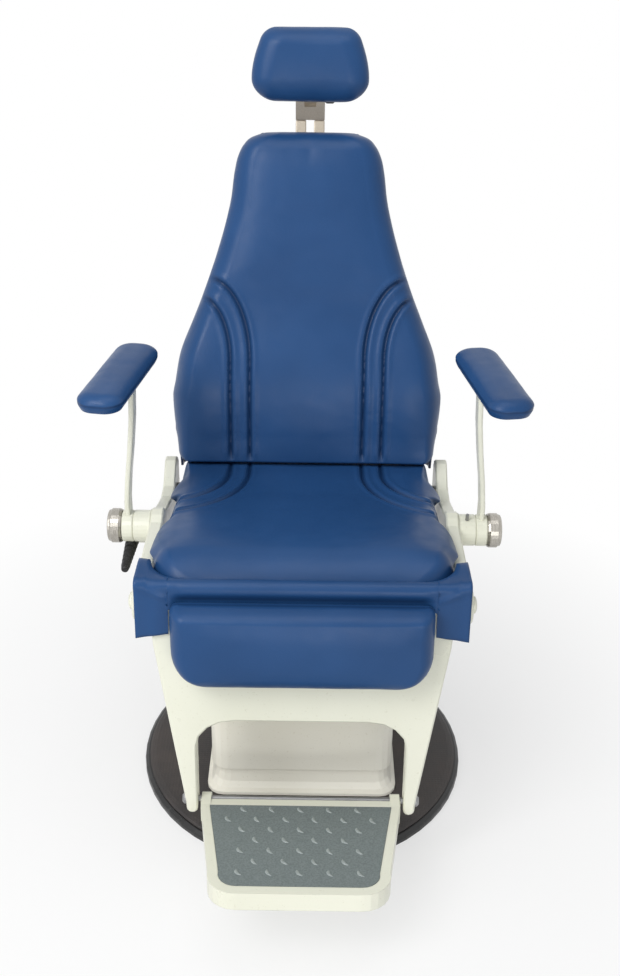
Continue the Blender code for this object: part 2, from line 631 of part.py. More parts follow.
def make_arms():
    steel = RAIL_INNER + RAIL_THICKNESS + GAP
    splay = ARM_SPLAY
    under = ARM_PAD_TOP - ARM_PAD_HEIGHT - 0.005
    centre_x = (ARM_HUB_INNER + ARM_HUB_OUTER) / 2 - 0.008
    for side, sign in (("left", -1), ("right", 1)):
        axle = ARM_KNOB_OUTER - 0.008
        r = ARM_HUB_RADIUS
        shape = [(0, axle), (0.009, axle), (0.009, ARM_HUB_INNER - GAP), (r - 0.0015, ARM_HUB_INNER - GAP),
                 (r, ARM_HUB_INNER - GAP - 0.0015), (r, steel + 0.002), (r + 0.002, steel), (0, steel)]
        here = along_x(0, 0, ARM_AXIS_Z, sign)
        turned("arm_collar_" + side, shape, 24, SEAT_AXIS, here, colour=CREAM)
        parent = ARM_AXES[side]
        inner, outer = ARM_HUB_INNER, ARM_HUB_OUTER
        ring = [(0.0094, outer), (r - 0.002, outer), (r, outer - 0.002), (r, inner + 0.0015)]
        ring += [(r - 0.0015, inner), (0.0094, inner)]
        hub = turned("arm_bracket_" + side, ring, 24, parent, here, colour=CREAM)
        x0 = inner + 0.009
        z0 = ARM_AXIS_Z
        stations = [(x0, z0 + 0.016), (x0, z0 + 0.050), (x0 - 0.004, z0 + 0.095), (x0 - 0.011, z0 + 0.150)]
        stations += [(x0 - 0.0165, z0 + 0.205), (x0 - 0.019, under - 0.012), (x0 - 0.019, under - GAP)]
        path = []
        for k, (x, z) in enumerate(stations):
            ahead = Vector(stations[min(k + 1, 6)]) - Vector(stations[max(k - 1, 0)])
            ahead.normalize()
            flat = Vector((sign * ahead.y, 0, -ahead.x))
            if k in (0, 6):
                flat = Vector((sign, 0, 0))
            path.append(((sign * x, 0.006, z), flat, Vector((0, 1, 0))))
        bar = rounded(0.0045, 0.0175, 0.003, 3)
        post = swept("arm_post_" + side, path, bar)
        combine(hub, add("arm_post_" + side, post, parent, Matrix.Identity(4), cutter=True), "UNION")
        pad_frame = Matrix.Translation((sign * ARM_PAD_X, -0.021, 0)) @ Matrix.Rotation(sign * splay, 4, "Z")
        plate = rounded(0.028, 0.095, 0.022, 4)
        mesh = prism("arm_pad_plate_" + side, plate, under, under + 0.005, "XY")
        add("arm_pad_plate_" + side, mesh, parent, pad_frame, colour=BLACK)
        width, long = ARM_PAD_WIDTH / 2, ARM_PAD_LENGTH

        def half(run):
            return width - corner(run, 0.030) - corner(long - run, 0.030)

        def place(x, run, height):
            return x, run - long / 2, under + 0.005 + GAP + height

        pad = Pad(long, half, ARM_PAD_HEIGHT - 0.001, 0.026, 0.022, 0.022, 0.001, rim=0.42, inset=0.005)
        add("arm_pad_" + side, pad.mesh("arm_pad_" + side, place, 3, 5), parent, pad_frame, colour=BLUE)
        k, low, high = ARM_KNOB_RADIUS, outer + GAP, ARM_KNOB_OUTER
        knob = [(0, high), (k - 0.006, high), (k - 0.003, high - 0.0015), (k - 0.002, high - 0.005)]
        knob += [(k, high - 0.007), (k, low + 0.004), (k - 0.002, low), (0.0094, low)]
        knob += [(0.0094, high - 0.007), (0, high - 0.007)]
        turned("arm_knob_" + side, knob, 28, KNOB_AXES[side], here, colour=(0.6, 0.6, 0.62), metal=0.9)
    pin = steel + ARM_COLLAR_WIDTH * 0.45
    rod("arm_stop_pin", 0.003, (pin, -0.010, ARM_AXIS_Z + 0.0262), (pin, -0.014, ARM_AXIS_Z + 0.038), 12,
        SEAT_AXIS, Matrix.Identity(4), metal=0.8)


def lever(name, x_low, x_high, pin_low, pin_high, turn, parent, frame, pivot_u):
    """Lever plate on a cross tube, with its pin, as one welded piece."""
    u, w = LEVER_LENGTH * math.sin(turn), -LEVER_LENGTH * math.cos(turn)
    outline = []
    lean = math.degrees(math.atan2(w, u))
    outline += arc(pivot_u, PIVOT_W, TUBE_RADIUS + 0.0015, lean + 90, lean + 270, 8)
    outline += arc(pivot_u + u, PIVOT_W + w, LEVER_PIN + 0.0045, lean - 90, lean + 90, 8)
    plate = add(name, prism(name, outline, x_low, x_high, "YZ"), parent, frame, cutter=True)
    level = PIVOT_W + w
    pin = rod(name + "_pin", LEVER_PIN, (pin_low, pivot_u + u, level), (pin_high, pivot_u + u, level), 16,
              parent, frame, cutter=True)
    return plate, pin


def make_backrest():
    end = RAIL_INNER - GAP
    ends = ((-end, BACK_PIVOT_U, PIVOT_W), (end, BACK_PIVOT_U, PIVOT_W))
    tube = rod("back_pivot_tube", TUBE_RADIUS, *ends, 20, BACK_AXIS, SEAT, metal=0.6)
    x = ACTUATOR_X
    where = (LEVER_TURN, BACK_AXIS, SEAT, BACK_PIVOT_U)
    for piece in lever("link_lever", 0.0065, 0.0125, -0.0075, 0.010, *where):
        combine(tube, piece, "UNION")
    for piece in lever("drive_lever", x + 0.008, x + 0.014, x - 0.0075, x + 0.012, *where):
        combine(tube, piece, "UNION")
    board_front = 0.005 + GAP
    board_back = board_front + BACK_BOARD_THICKNESS
    stations = (0, 0.03, 0.06, 0.09, 0.124, 0.15, 0.2065, 0.26)
    stations += (0.3135, 0.366, 0.418, 0.47, 0.52, 0.545, 0.57, 0.585)
    shares = (0.9556, 0.9636, 0.9778, 0.9919, 1.0, 0.9818, 0.9374, 0.8485)
    shares += (0.7596, 0.6828, 0.6182, 0.5657, 0.5374, 0.5131, 0.4566, 0.3434)
    widths = [BACK_HALF_WIDTH * share for share in shares]
    scale = BACK_LENGTH / stations[-1]

    def half(run):
        return smooth(stations, widths, run / scale) - corner(run, 0.012)

    def shell_half(run):
        if run > 0.124 * scale:
            return smooth(stations, widths, run / scale)
        low = (RAIL_INNER - 0.007, RAIL_INNER - 0.003, BACK_HALF_WIDTH - 0.0007, BACK_HALF_WIDTH)
        return smooth((-0.03, 0.02, 0.06, 0.124), low, run / scale)

    def lumbar(x, run):
        swell = LUMBAR_BULGE * math.exp(-((run / scale - 0.15) / 0.11) ** 2)
        wing = 0.006 * math.exp(-((abs(x) - 0.19) / 0.035) ** 2 - ((run / scale - 0.14) / 0.12) ** 2)
        return swell + wing

    def place(x, run, height):
        return x, board_front - GAP - height, BACK_START + run

    pad = Pad(BACK_LENGTH, half, BACK_CUSHION_DEPTH, 0.036, 0.022, 0.030, 0.004, lumbar, rim=0.36,
              inset=0.008)
    cushion = add("back_cushion", pad.mesh("back_cushion", place, 9, 15), BACK_AXIS, BACK, colour=BLUE)
    for side, sign in (("left", -1), ("right", 1)):
        for label, x, reach in (("inner", SEAM_INNER, 0.337), ("outer", SEAM_OUTER, 0.303)):
            top = reach * scale
            path = [(sign * x, run) for run in (-0.006, 0.03, 0.10, 0.17, 0.20)]
            for turn in (22, 45, 66, 84):
                bend = math.radians(turn)
                out = (half(top) - x) * (1 - math.cos(bend))
                path.append((sign * (x + out), 0.20 + (top - 0.20) * math.sin(bend)))
            path.append((sign * (half(top) + 0.006), top + 0.002))
            combine(cushion, pad.seam("back_seam_" + label + "_" + side, place, path, BACK_AXIS, BACK))

    def panel(edge, inset, low, high, count):
        runs = [low + (high - low) * (1 - math.cos(math.pi * i / count)) / 2 for i in range(count + 1)]
        right = [(edge(min(run, BACK_LENGTH)) - inset, BACK_START + run) for run in runs]
        return right + [(-a, b) for a, b in right[::-1]]

    board = panel(shell_half, 0.0065, 0.004, BACK_LENGTH - 0.007, 18)
    add("back_board", prism("back_board", board, board_front, board_back), BACK_AXIS, BACK, colour=WOOD)
    rings = []
    for inset, depth in ((0.0, 0.0), (0.0, 0.030), (0.0035, 0.041), (0.012, SHELL_DEPTH)):
        outline = panel(shell_half, inset, -0.012, BACK_LENGTH - inset, 18)
        rings.append([(x, board_front + depth, z) for x, z in outline])
    shell = add("back_shell", stacked("back_shell", rings), BACK_AXIS, BACK, colour=(0.012, 0.03, 0.09))
    deep = board_front + SHELL_DEPTH - 0.004
    rings = []
    for inset, depth in ((0.004, -0.05), (0.004, 0.028), (0.0075, 0.037), (0.016, SHELL_DEPTH - 0.004)):
        outline = panel(shell_half, inset, -0.060, BACK_LENGTH - inset - 0.0005, 18)
        rings.append([(x, board_front + depth, z) for x, z in outline])
    hollow = stacked("back_shell_hollow", rings)
    combine(shell, add("back_shell_hollow", hollow, BACK_AXIS, BACK, cutter=True))
    slot = block("back_shell_slot", (-0.0300, 0.0225, BACK_TOP - 0.054), (0.0300, 0.0395, BACK_TOP + 0.046))
    combine(shell, add("back_shell_slot", slot, BACK_AXIS, BACK, cutter=True))
    lug = board_back + GAP
    side_view = arc(0.0, 0.0, 0.0165, 150, 360, 9) + [(deep - GAP, 0.03), (deep - GAP, 0.235)]
    side_view += [(deep - 0.010, 0.250), (lug, 0.250), (lug, 0.052)]
    for side, sign in (("left", -1), ("right", 1)):
        low, high = sorted((sign * 0.180, sign * 0.190))
        mesh = prism("back_bracket_" + side, side_view, low, high, "YZ")
        plate = add("back_bracket_" + side, mesh, BACK_AXIS, BACK, metal=0.5)
        ends = ((low - 0.01, 0, 0), (high + 0.01, 0, 0))
        hole = rod("back_bracket_hole_" + side, TUBE_RADIUS + GAP, *ends, 20, BACK_AXIS, BACK, cutter=True)
        combine(plate, hole)
    bar_front = 0.0265
    guide_top = BACK_TOP - 0.024
    guide_low = guide_top - HEAD_GUIDE_LENGTH
    mesh = block("headrest_guide", (-0.042, lug, guide_low), (0.042, deep - GAP, guide_top))
    guide = add("headrest_guide", mesh, BACK_AXIS, BACK, colour=BLACK)
    half_bars = HEAD_BAR_GAP / 2 + HEAD_BAR_WIDTH + 0.0004
    tunnel = block("headrest_tunnel", (-half_bars, bar_front - 0.0004, guide_low - 0.02),
                   (half_bars, bar_front + HEAD_BAR_THICKNESS + 0.0004, guide_top + 0.02))
    combine(guide, add("headrest_tunnel", tunnel, BACK_AXIS, BACK, cutter=True))
    make_headrest(bar_front)


def make_headrest(bar_front):
    bar_back = bar_front + HEAD_BAR_THICKNESS
    beige = (0.44, 0.36, 0.26)
    for side, sign in (("left", -1), ("right", 1)):
        low, high = sorted((sign * HEAD_BAR_GAP / 2, sign * (HEAD_BAR_GAP / 2 + HEAD_BAR_WIDTH)))
        bottom, top = BACK_TOP - 0.214, BACK_TOP + 0.024
        bar = block("headrest_bar_" + side, (low, bar_front, bottom), (high, bar_back, top))
        soften(add("headrest_bar_" + side, bar, POST_AXIS, BACK, colour=beige, metal=0.8), 0.002, 2)
    t, d = HEAD_PIVOT_T, HEAD_PIVOT_D
    reach = HEAD_BAR_GAP / 2 + HEAD_BAR_WIDTH
    foot = BACK_TOP + 0.024 + GAP
    yoke_view = [(bar_back, foot), (bar_back, foot + 0.0217)] + arc(d, t, 0.011, 60, 210, 8)
    yoke_view += [(bar_front - 0.004, foot)]
    mesh = prism("headrest_yoke", yoke_view, -reach, reach, "YZ")
    yoke = add("headrest_yoke", mesh, POST_AXIS, BACK, colour=beige, metal=0.8)
    mouth = block("headrest_mouth", (-0.0105, d - 0.020, t - 0.0165), (0.0105, d + 0.0135, t + 0.02))
    combine(yoke, add("headrest_mouth", mouth, POST_AXIS, BACK, cutter=True))
    bore = rod("headrest_bore", 0.0045, (-0.06, d, t), (0.06, d, t), 16, POST_AXIS, BACK, cutter=True)
    combine(yoke, bore)
    seat = HEAD
    ear = arc(0, 0, 0.0105, 180, 330, 7) + [(0.004, 0.045), (-0.004, 0.075), (-0.009, 0.075), (-0.009, 0.030)]
    mesh = prism("headrest_bracket", ear, -0.010, 0.010, "YZ")
    bracket = add("headrest_bracket", mesh, HEAD_AXIS, seat, colour=beige, metal=0.8)
    plate = prism("headrest_plate", rounded(0.050, 0.036, 0.012, 4), -0.0120, -0.0085, "XZ")
    shift = seat @ Matrix.Translation((0, 0, 0.053))
    combine(bracket, add("headrest_plate", plate, HEAD_AXIS, shift, cutter=True), "UNION")
    hole = rod("headrest_ear_bore", 0.0045, (-0.06, 0, 0), (0.06, 0, 0), 16, HEAD_AXIS, seat, cutter=True)
    combine(bracket, hole)

    def half(run):
        share = run / HEAD_HEIGHT
        wide = smooth((0, 0.30, 0.55, 1.0), (0.94, 1.0, 0.975, 0.83), share) * HEAD_HALF_WIDTH
        return wide - corner(run, 0.030) - corner(HEAD_HEIGHT - run, 0.030)

    def place(x, run, height):
        wrap = 0.10 * x * x / HEAD_HALF_WIDTH * min(1.0, height / (0.4 * HEAD_DEPTH))
        return x, -0.0123 - height - wrap, -0.004 + run

    pad = Pad(HEAD_HEIGHT, half, HEAD_DEPTH, 0.030, 0.026, 0.026, 0.002, rim=0.40, inset=0.006)
    add("headrest_pad", pad.mesh("headrest_pad", place, 6, 5), HEAD_AXIS, seat, colour=BLUE)
    start = reach + GAP
    knob = [(0, start + 0.017), (0.0080, start + 0.017), (0.0105, start + 0.014), (0.0105, start + 0.003),
            (0.0085, start), (0.0041, start), (0.0041, -reach), (0, -reach)]
    turned("headrest_knob", knob, 20, HEAD_KNOB_AXIS, BACK @ along_x(0, d, t), colour=BLACK)


def make_legrest():
    end = RAIL_INNER - GAP
    tube = rod("leg_pivot_tube", TUBE_RADIUS, (-end, LEG_PIVOT_U, PIVOT_W), (end, LEG_PIVOT_U, PIVOT_W), 20,
               LEG_AXIS, SEAT, metal=0.6)
    where = (LEVER_TURN, LEG_AXIS, SEAT, LEG_PIVOT_U)
    for piece in lever("leg_lever", 0.0065, 0.0125, -0.0075, 0.010, *where):
        combine(tube, piece, "UNION")
    fore, deep = LEG_FRONT, LEG_FRONT + LEG_DEPTH

    def frame_outline(inset, top):
        side = [(LEG_HALF_PIVOT - inset, top)]
        for w in (-0.07, 0.54 * FOOT_PIVOT_W, FOOT_PIVOT_W + 0.004):
            side.append((LEG_HALF_TOP + LEG_TAPER * w - inset, w))
        low_out = LEG_HALF_TOP + LEG_TAPER * FOOT_PIVOT_W - inset
        low_in = LEG_INNER + inset
        middle, radius = (low_out + low_in) / 2, (low_out - low_in) / 2
        foot = arc(middle, -LEG_LENGTH + inset + radius, radius, 0, -180, 7)
        inner = [(low_in, 0.80 * FOOT_PIVOT_W)]
        for turn in (0, 22, 45, 67, 90):
            a = math.radians(turn)
            inner.append((LEG_INNER - 0.063 + (0.063 + inset) * math.cos(a),
                          -LEG_ARCH_TOP - 0.050 + (0.050 + inset) * math.sin(a)))
        right = side + foot + inner
        return right + [(-a, b) for a, b in right[::-1]]

    mesh = prism("leg_frame", frame_outline(0, LEG_TOP), fore, deep)
    frame = add("leg_frame", mesh, LEG_AXIS, LEG, colour=CREAM)
    soften(frame, 0.0025, 1, 50)
    inside = prism("leg_frame_hollow", frame_outline(LEG_WALL, 0.05), fore + LEG_WALL, deep + 0.02)
    combine(frame, add("leg_frame_hollow", inside, LEG_AXIS, LEG, cutter=True))
    # Between the two eyes on the pivot tube the plate is lower, to pass under the cushion when it swings up.
    wide = LEG_HALF_PIVOT - LEG_EYE
    relief = block("leg_frame_relief", (-wide, fore - 0.01, LEG_RELIEF), (wide, deep + 0.01, LEG_TOP + 0.04))
    combine(frame, add("leg_frame_relief", relief, LEG_AXIS, LEG, cutter=True))
    bore = rod("leg_frame_bore", TUBE_RADIUS + GAP, (-0.3, 0, 0), (0.3, 0, 0), 20, LEG_AXIS, LEG, cutter=True)
    combine(frame, bore)
    for side, sign in (("left", -1), ("right", 1)):
        near, far = (sign * (LEG_INNER - 0.01), 0, FOOT_PIVOT_W), (sign * 0.22, 0, FOOT_PIVOT_W)
        combine(frame, rod("leg_foot_hole_" + side, 0.0053, near, far, 16, LEG_AXIS, LEG, cutter=True))
    long = CALF_TOP - CALF_BOTTOM

    def half(run):
        return CALF_HALF - corner(run, 0.018) - corner(long - run, 0.065)

    def place(x, run, height):
        return x, fore - GAP - height, CALF_TOP - run

    pad = Pad(long, half, CALF_DEPTH, 0.034, 0.030, 0.034, 0.004, rim=0.30, inset=0.004)
    calf = add("calf_pad", pad.mesh("calf_pad", place, 8, 4), LEG_AXIS, LEG, colour=BLUE)
    tuck = block("calf_tuck", (-0.3, fore - 0.0031, HEM_W - PIVOT_W - 0.0006), (0.3, fore + 0.02, 0.05))
    combine(calf, add("calf_tuck", tuck, LEG_AXIS, LEG, cutter=True))
    tip = LEG_HALF_TOP + LEG_TAPER * (FOOT_PIVOT_W + 0.0095) + GAP
    shape = [(0, tip + 0.0065), (0.006, tip + 0.0065), (0.0095, tip + 0.003), (0.0095, tip), (0.005, tip),
             (0.005, -tip), (0.0095, -tip), (0.0095, -tip - 0.003), (0.006, -tip - 0.0065)]
    shape += [(0, -tip - 0.0065)]
    turned("foot_hinge_rod", shape, 16, LEG_AXIS, LEG @ along_x(0, 0, FOOT_PIVOT_W), metal=0.8)


def make_footrest():
    back, front = -0.010, -0.010 - FOOT_LENGTH

    def outline(inset):
        wide_b, wide_f = FOOT_HALF_BACK - inset, FOOT_HALF_FRONT - inset
        right = [(wide_b, back - inset)]
        r = FOOT_CORNER - inset
        right += arc(wide_f - r + 0.004, front + inset + r, r, 8, -90, 7)
        return right + [(-a, b) for a, b in right[::-1]]

    bottom = FOOT_TOP - FOOT_THICKNESS
    mesh = prism("foot_tray", outline(0), bottom, FOOT_TOP, "XY")
    tray = add("foot_tray", mesh, FOOT_AXIS, FOOT, colour=CREAM)
    for side, sign in (("left", -1), ("right", 1)):
        ear = [(-0.030, bottom + 0.001)] + arc(0, 0, 0.0105, -75, 80, 7) + [(-0.030, FOOT_TOP - 0.001)]
        low, high = sorted((sign * (FOOT_HALF_BACK - 0.018), sign * (FOOT_HALF_BACK - 0.002)))
        piece = prism("foot_ear_" + side, ear, low, high, "YZ")
        combine(tray, add("foot_ear_" + side, piece, FOOT_AXIS, FOOT, cutter=True), "UNION")
    under = prism("foot_hollow", outline(0.004), bottom - 0.01, FOOT_TOP - 0.009, "XY")
    shut = add("foot_hollow", under, FOOT_AXIS, FOOT, cutter=True)
    recess = prism("foot_recess", outline(FOOT_RIM), FOOT_TOP - 0.003, FOOT_TOP + 0.02, "XY")
    combine(tray, add("foot_recess", recess, FOOT_AXIS, FOOT, cutter=True))
    combine(tray, shut)
    bore = rod("foot_bore", 0.0053, (-0.3, 0, 0), (0.3, 0, 0), 16, FOOT_AXIS, FOOT, cutter=True)
    combine(tray, bore)
    mat = prism("foot_mat", outline(FOOT_RIM + 0.0004), FOOT_TOP - 0.003 + GAP, FOOT_TOP + 0.001, "XY")
    add("foot_mat", mat, FOOT_AXIS, FOOT, colour=(0.16, 0.19, 0.19))


def make_mechanism():
    rear = BACK_PIVOT_U + LEVER_U
    fore = LEG_PIVOT_U + LEVER_U
    level = PIVOT_W + LEVER_W
    high, low = level + 0.006, level - 0.006
    bar = arc(rear, level, 0.0105, -42, 42, 5) + [(rear - 0.016, high), (fore + 0.016, high)]
    bar += arc(fore, level, 0.0105, 138, 222, 5) + [(fore + 0.016, low), (rear - 0.016, low)]
    link = add("leg_link", prism("leg_link", bar, -0.006, 0.006, "YZ"), LINK_AXIS, SEAT, metal=0.7)
    for label, u in (("rear", rear), ("front", fore)):
        eye = LEVER_PIN + 0.00045
        ends = ((-0.02, u, level), (0.02, u, level))
        combine(link, rod("link_eye_" + label, eye, *ends, 20, LINK_AXIS, SEAT, cutter=True))
    x = ACTUATOR_X
    nose, tail = 0.060, -0.135
    shape = [(0, tail + 0.052), (0.0085, tail + 0.052), (0.0085, nose), (0.014, nose), (0.018, nose - 0.005),
             (0.018, tail + 0.004), (0.014, tail), (0, tail)]
    axis = SEAT @ Matrix.Translation((x, 0, level - 0.0003)) @ Matrix.Rotation(-math.pi / 2, 4, "X")
    turned("recline_actuator", shape, 24, SEAT_AXIS, axis, colour=BLACK)
    stem = rod("recline_rod", 0.008, (x, -0.012, level), (x, rear - 0.010, level), 16, ROD_AXIS, SEAT,
               metal=0.9)
    drop = LEVER_LENGTH + LEVER_W
    low, high = level - drop - LEVER_PIN - 0.006, level + LEVER_PIN + 0.006
    yoke = block("rod_yoke", (x - 0.006, rear - 0.0135, low), (x + 0.006, rear + 0.0135, high))
    combine(stem, add("rod_yoke", yoke, ROD_AXIS, SEAT, cutter=True), "UNION")
    slot = block("rod_slot", (x - 0.02, rear - LEVER_PIN - 0.0014, low + 0.0045),
                 (x + 0.02, rear + LEVER_PIN + 0.0014, high - 0.0045))
    combine(stem, add("rod_slot", slot, ROD_AXIS, SEAT, cutter=True))


def make_lock():
    start = HALF_OUT + GAP
    face, tip = start + LOCK_REACH, start + LOCK_REACH + 0.013
    boss = [(0, tip), (0.006, tip), (0.006, face), (0.014, face), (0.015, face - 0.002), (0.015, start)]
    boss += [(0, start)]
    here = along_x(0, LOCK_Y, LOCK_Z, -1)
    turned("lock_boss", boss, 20, SEAT_AXIS, here, colour=CREAM)
    low, high = face + GAP, tip - 0.0005
    ring = [(0.0063, high), (0.0125, high), (0.0135, high - 0.001), (0.0135, low), (0.0063, low)]
    arm = turned("lock_lever", ring, 20, LOCK_AXIS, here, metal=0.7)
    x = -(low + high) / 2
    ends = ((x, LOCK_Y - 0.009, LOCK_Z), (x, LOCK_Y - GRIP_LENGTH + 0.008, LOCK_Z))
    shaft = rod("lock_shaft", 0.0045, *ends, 12, LOCK_AXIS, Matrix.Identity(4), cutter=True)
    combine(arm, shaft, "UNION")
    near, far = LOCK_Y - 0.016, LOCK_Y - GRIP_LENGTH - 0.008
    rows = []
    count = 7
    for k in range(count):
        a = near + (far + 0.010 - near) * k / count
        b = near + (far + 0.010 - near) * (k + 1) / count
        r = 0.0120 - 0.0040 * k / (count - 1)
        rows += [(r - 0.0016, -a), (r, -a + 0.003), (r, -b - 0.004)]
    rows += [(0.0062, -far - 0.002), (0.004, -far), (0, -far)]
    end = GRIP_LENGTH - LOCK_Y - 0.0075
    profile = [(0, end), (0.0048, end), (0.0048, -near)] + rows
    axis = Matrix.Translation((x, 0, LOCK_Z)) @ Matrix.Rotation(math.pi / 2, 4, "X")
    turned("lock_grip", profile[::-1], 16, LOCK_AXIS, axis, colour=BLACK)


make_base()
TABLE_TOP = make_column()
make_seat_frame(TABLE_TOP)
make_seat_cushion()
make_apron()
make_arms()
make_backrest()
make_legrest()
make_footrest()
make_mechanism()
make_lock()
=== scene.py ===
"""Ear, nose and throat chair: upholstery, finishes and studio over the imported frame."""
import json
import math

import bmesh
import bpy
import numpy as np
from mathutils import Matrix, Vector, noise
from mathutils.bvhtree import BVHTree
from mathutils.kdtree import KDTree

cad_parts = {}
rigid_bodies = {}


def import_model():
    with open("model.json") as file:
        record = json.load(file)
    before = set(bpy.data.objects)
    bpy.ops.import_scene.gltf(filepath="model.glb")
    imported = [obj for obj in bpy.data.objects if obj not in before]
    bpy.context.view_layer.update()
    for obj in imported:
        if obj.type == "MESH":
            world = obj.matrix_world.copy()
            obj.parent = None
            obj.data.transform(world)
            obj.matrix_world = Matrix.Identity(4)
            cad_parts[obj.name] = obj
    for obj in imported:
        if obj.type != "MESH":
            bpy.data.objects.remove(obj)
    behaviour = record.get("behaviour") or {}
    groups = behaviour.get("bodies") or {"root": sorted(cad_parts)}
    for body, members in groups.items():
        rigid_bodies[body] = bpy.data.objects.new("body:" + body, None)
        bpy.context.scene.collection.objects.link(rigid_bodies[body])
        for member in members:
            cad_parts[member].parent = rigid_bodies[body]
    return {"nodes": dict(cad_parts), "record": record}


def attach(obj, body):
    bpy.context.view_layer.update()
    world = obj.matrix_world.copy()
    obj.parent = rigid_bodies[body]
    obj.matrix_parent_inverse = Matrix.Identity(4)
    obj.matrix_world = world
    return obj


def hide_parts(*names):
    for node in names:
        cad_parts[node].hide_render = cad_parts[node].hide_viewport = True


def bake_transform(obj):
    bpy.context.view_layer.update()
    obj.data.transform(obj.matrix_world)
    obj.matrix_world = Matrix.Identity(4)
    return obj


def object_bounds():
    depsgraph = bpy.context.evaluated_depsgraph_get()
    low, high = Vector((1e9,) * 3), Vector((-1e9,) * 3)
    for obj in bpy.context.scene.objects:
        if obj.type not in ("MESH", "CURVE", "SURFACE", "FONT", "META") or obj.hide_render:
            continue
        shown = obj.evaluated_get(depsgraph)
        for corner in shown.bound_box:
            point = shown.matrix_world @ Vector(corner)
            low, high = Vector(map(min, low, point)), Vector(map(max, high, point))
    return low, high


for old in list(bpy.data.objects):
    bpy.data.objects.remove(old, do_unlink=True)
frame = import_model()
CAD_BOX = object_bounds()
NODES = frame["nodes"]

# Sizes of the frame that the upholstery sits on, in metres.
GAP = 0.0003
SEAT_HEIGHT = 0.500
SEAT_TILT = math.radians(6.0)
SEAT_HALF_FRONT = 0.2410
SEAT_HALF_REAR = SEAT_HALF_FRONT - 0.013
RAIL_INNER = SEAT_HALF_FRONT + 0.002
HALF_OUT = RAIL_INNER + 0.022
PIVOT_W = -0.020
BACK_PIVOT_U = 0.215
LEG_PIVOT_U = -0.240
PAN_TOP = -0.0255
SEAT_CUSHION_FRONT = -0.236
SEAT_CUSHION_REAR = 0.197
SEAT_CUSHION_HEIGHT = 0.075
SEAT_CORNER = 0.062
BACK_LEAN = math.radians(15.0)
BACK_START = 0.0565
BACK_LENGTH = 0.5975
BACK_HALF_WIDTH = 0.2475
BACK_DEPTH = 0.0665
BACK_TOP = BACK_START + BACK_LENGTH
HEAD_PIVOT_T = BACK_TOP + 0.062
HEAD_PIVOT_D = 0.012
HEAD_TILT = math.radians(10.0)
HEAD_HALF = 0.102
HEAD_HEIGHT = 0.123
HEAD_DEPTH = 0.058
LEG_FRONT = -0.018
LEG_LENGTH = 0.389
LEG_HALF_TOP = SEAT_HALF_FRONT + 0.0037
CALF_HALF = LEG_HALF_TOP - 0.0407
CALF_TOP = 0.013
CALF_BOTTOM = -0.127
CALF_DEPTH = 0.054
HEM_W = -0.024
FOOT_PIVOT_W = 0.017 - LEG_LENGTH
FOOT_TOP = 0.006
FOOT_LENGTH = 0.227
FOOT_BORDER = 0.0166
ARM_AXIS_Z = SEAT_HEIGHT - 0.001
ARM_PAD_TOP = ARM_AXIS_Z + 0.307
ARM_PAD_LENGTH = 0.246
ARM_PAD_WIDTH = 0.075
ARM_PAD_HEIGHT = 0.030
ARM_PAD_X = HALF_OUT + 0.0355
ARM_PAD_Y = -0.021
ARM_SPLAY = math.radians(9.0)

# Upholstery: the pads' fullness beyond the plain solids, their seams and thread, and the apron, in metres
# and square metres.
LUMBAR = 0.020
REAR_FULL = 0.006
OVERHANG = 0.015
MEETS = 0.06
TIGHT_RUN = 0.12
SEAM_INNER = 0.103
SEAM_OUTER = 0.138
SEAM_DEPTH = 0.0048
SEAM_WIDTH = 0.0036
SEAM_HELD = 0.0045
SEAM_CALM = 0.008
SEAM_REACH = 0.045
SEAM_STEP = 0.001
PUCKER_DEPTH = 0.0003
PUCKER_REACH = 0.016
EDGE_SEAM_DEPTH = 0.0009
EDGE_SEAM_WIDTH = 0.0019
UNEVEN = 0.0007
FINE_UNEVEN = 0.00022
STITCH_OFFSET = 0.0062
STITCH_PITCH = 0.0052
STITCH_RADIUS = 0.00042
STITCH_MARGIN = 0.012
APRON_CLEAR = 0.0019
APRON_THICKNESS = 0.0018

# Shares and counts of the upholstery.
TIGHT_SIDE = 0.42
TIGHT_GROWTH = 0.58
SIDE_LIMIT = 0.8
EDGE_POWER = 1.3
FRONT_POWER_DROP = 0.4
RIDGE_SHARE = 0.34
SEAM_APART = 3.7
STITCH_SHARE = 0.74
STITCH_SIDES = 6
SMOOTHINGS = 10
REFINEMENTS = 2
QUARTER_ARC = 1.57
SHARP_ANGLE = math.radians(62)

# Cloth that swells the pads from inside, held at its edges and seams.
CLOTH_FRAMES = 20
CLOTH = {
    "quality": 5,
    "mass": 0.25,
    "tension_stiffness": 18,
    "compression_stiffness": 18,
    "shear_stiffness": 9,
    "bending_stiffness": 1.2,
    "tension_damping": 12,
    "air_damping": 3,
    "use_pressure": True,
    "uniform_pressure_force": 4.0,
    "vertex_group_mass": "pin",
}

# Places of the seat, back, legrest, footrest and headrest at rest.
SEAT = Matrix.Translation((0, 0, SEAT_HEIGHT)) @ Matrix.Rotation(-SEAT_TILT, 4, "X")
BACK_POINT = SEAT @ Vector((0, BACK_PIVOT_U, PIVOT_W))
BACK = Matrix.Translation(BACK_POINT) @ Matrix.Rotation(-BACK_LEAN, 4, "X")
LEG_POINT = SEAT @ Vector((0, LEG_PIVOT_U, PIVOT_W))
LEG = Matrix.Translation(LEG_POINT) @ Matrix.Rotation(-SEAT_TILT, 4, "X")
FOOT = LEG @ Matrix.Translation((0, 0, FOOT_PIVOT_W))
HEAD_POINT = BACK @ Vector((0, HEAD_PIVOT_D, HEAD_PIVOT_T))
HEAD = Matrix.Translation(HEAD_POINT) @ Matrix.Rotation(HEAD_TILT - BACK_LEAN, 4, "X")


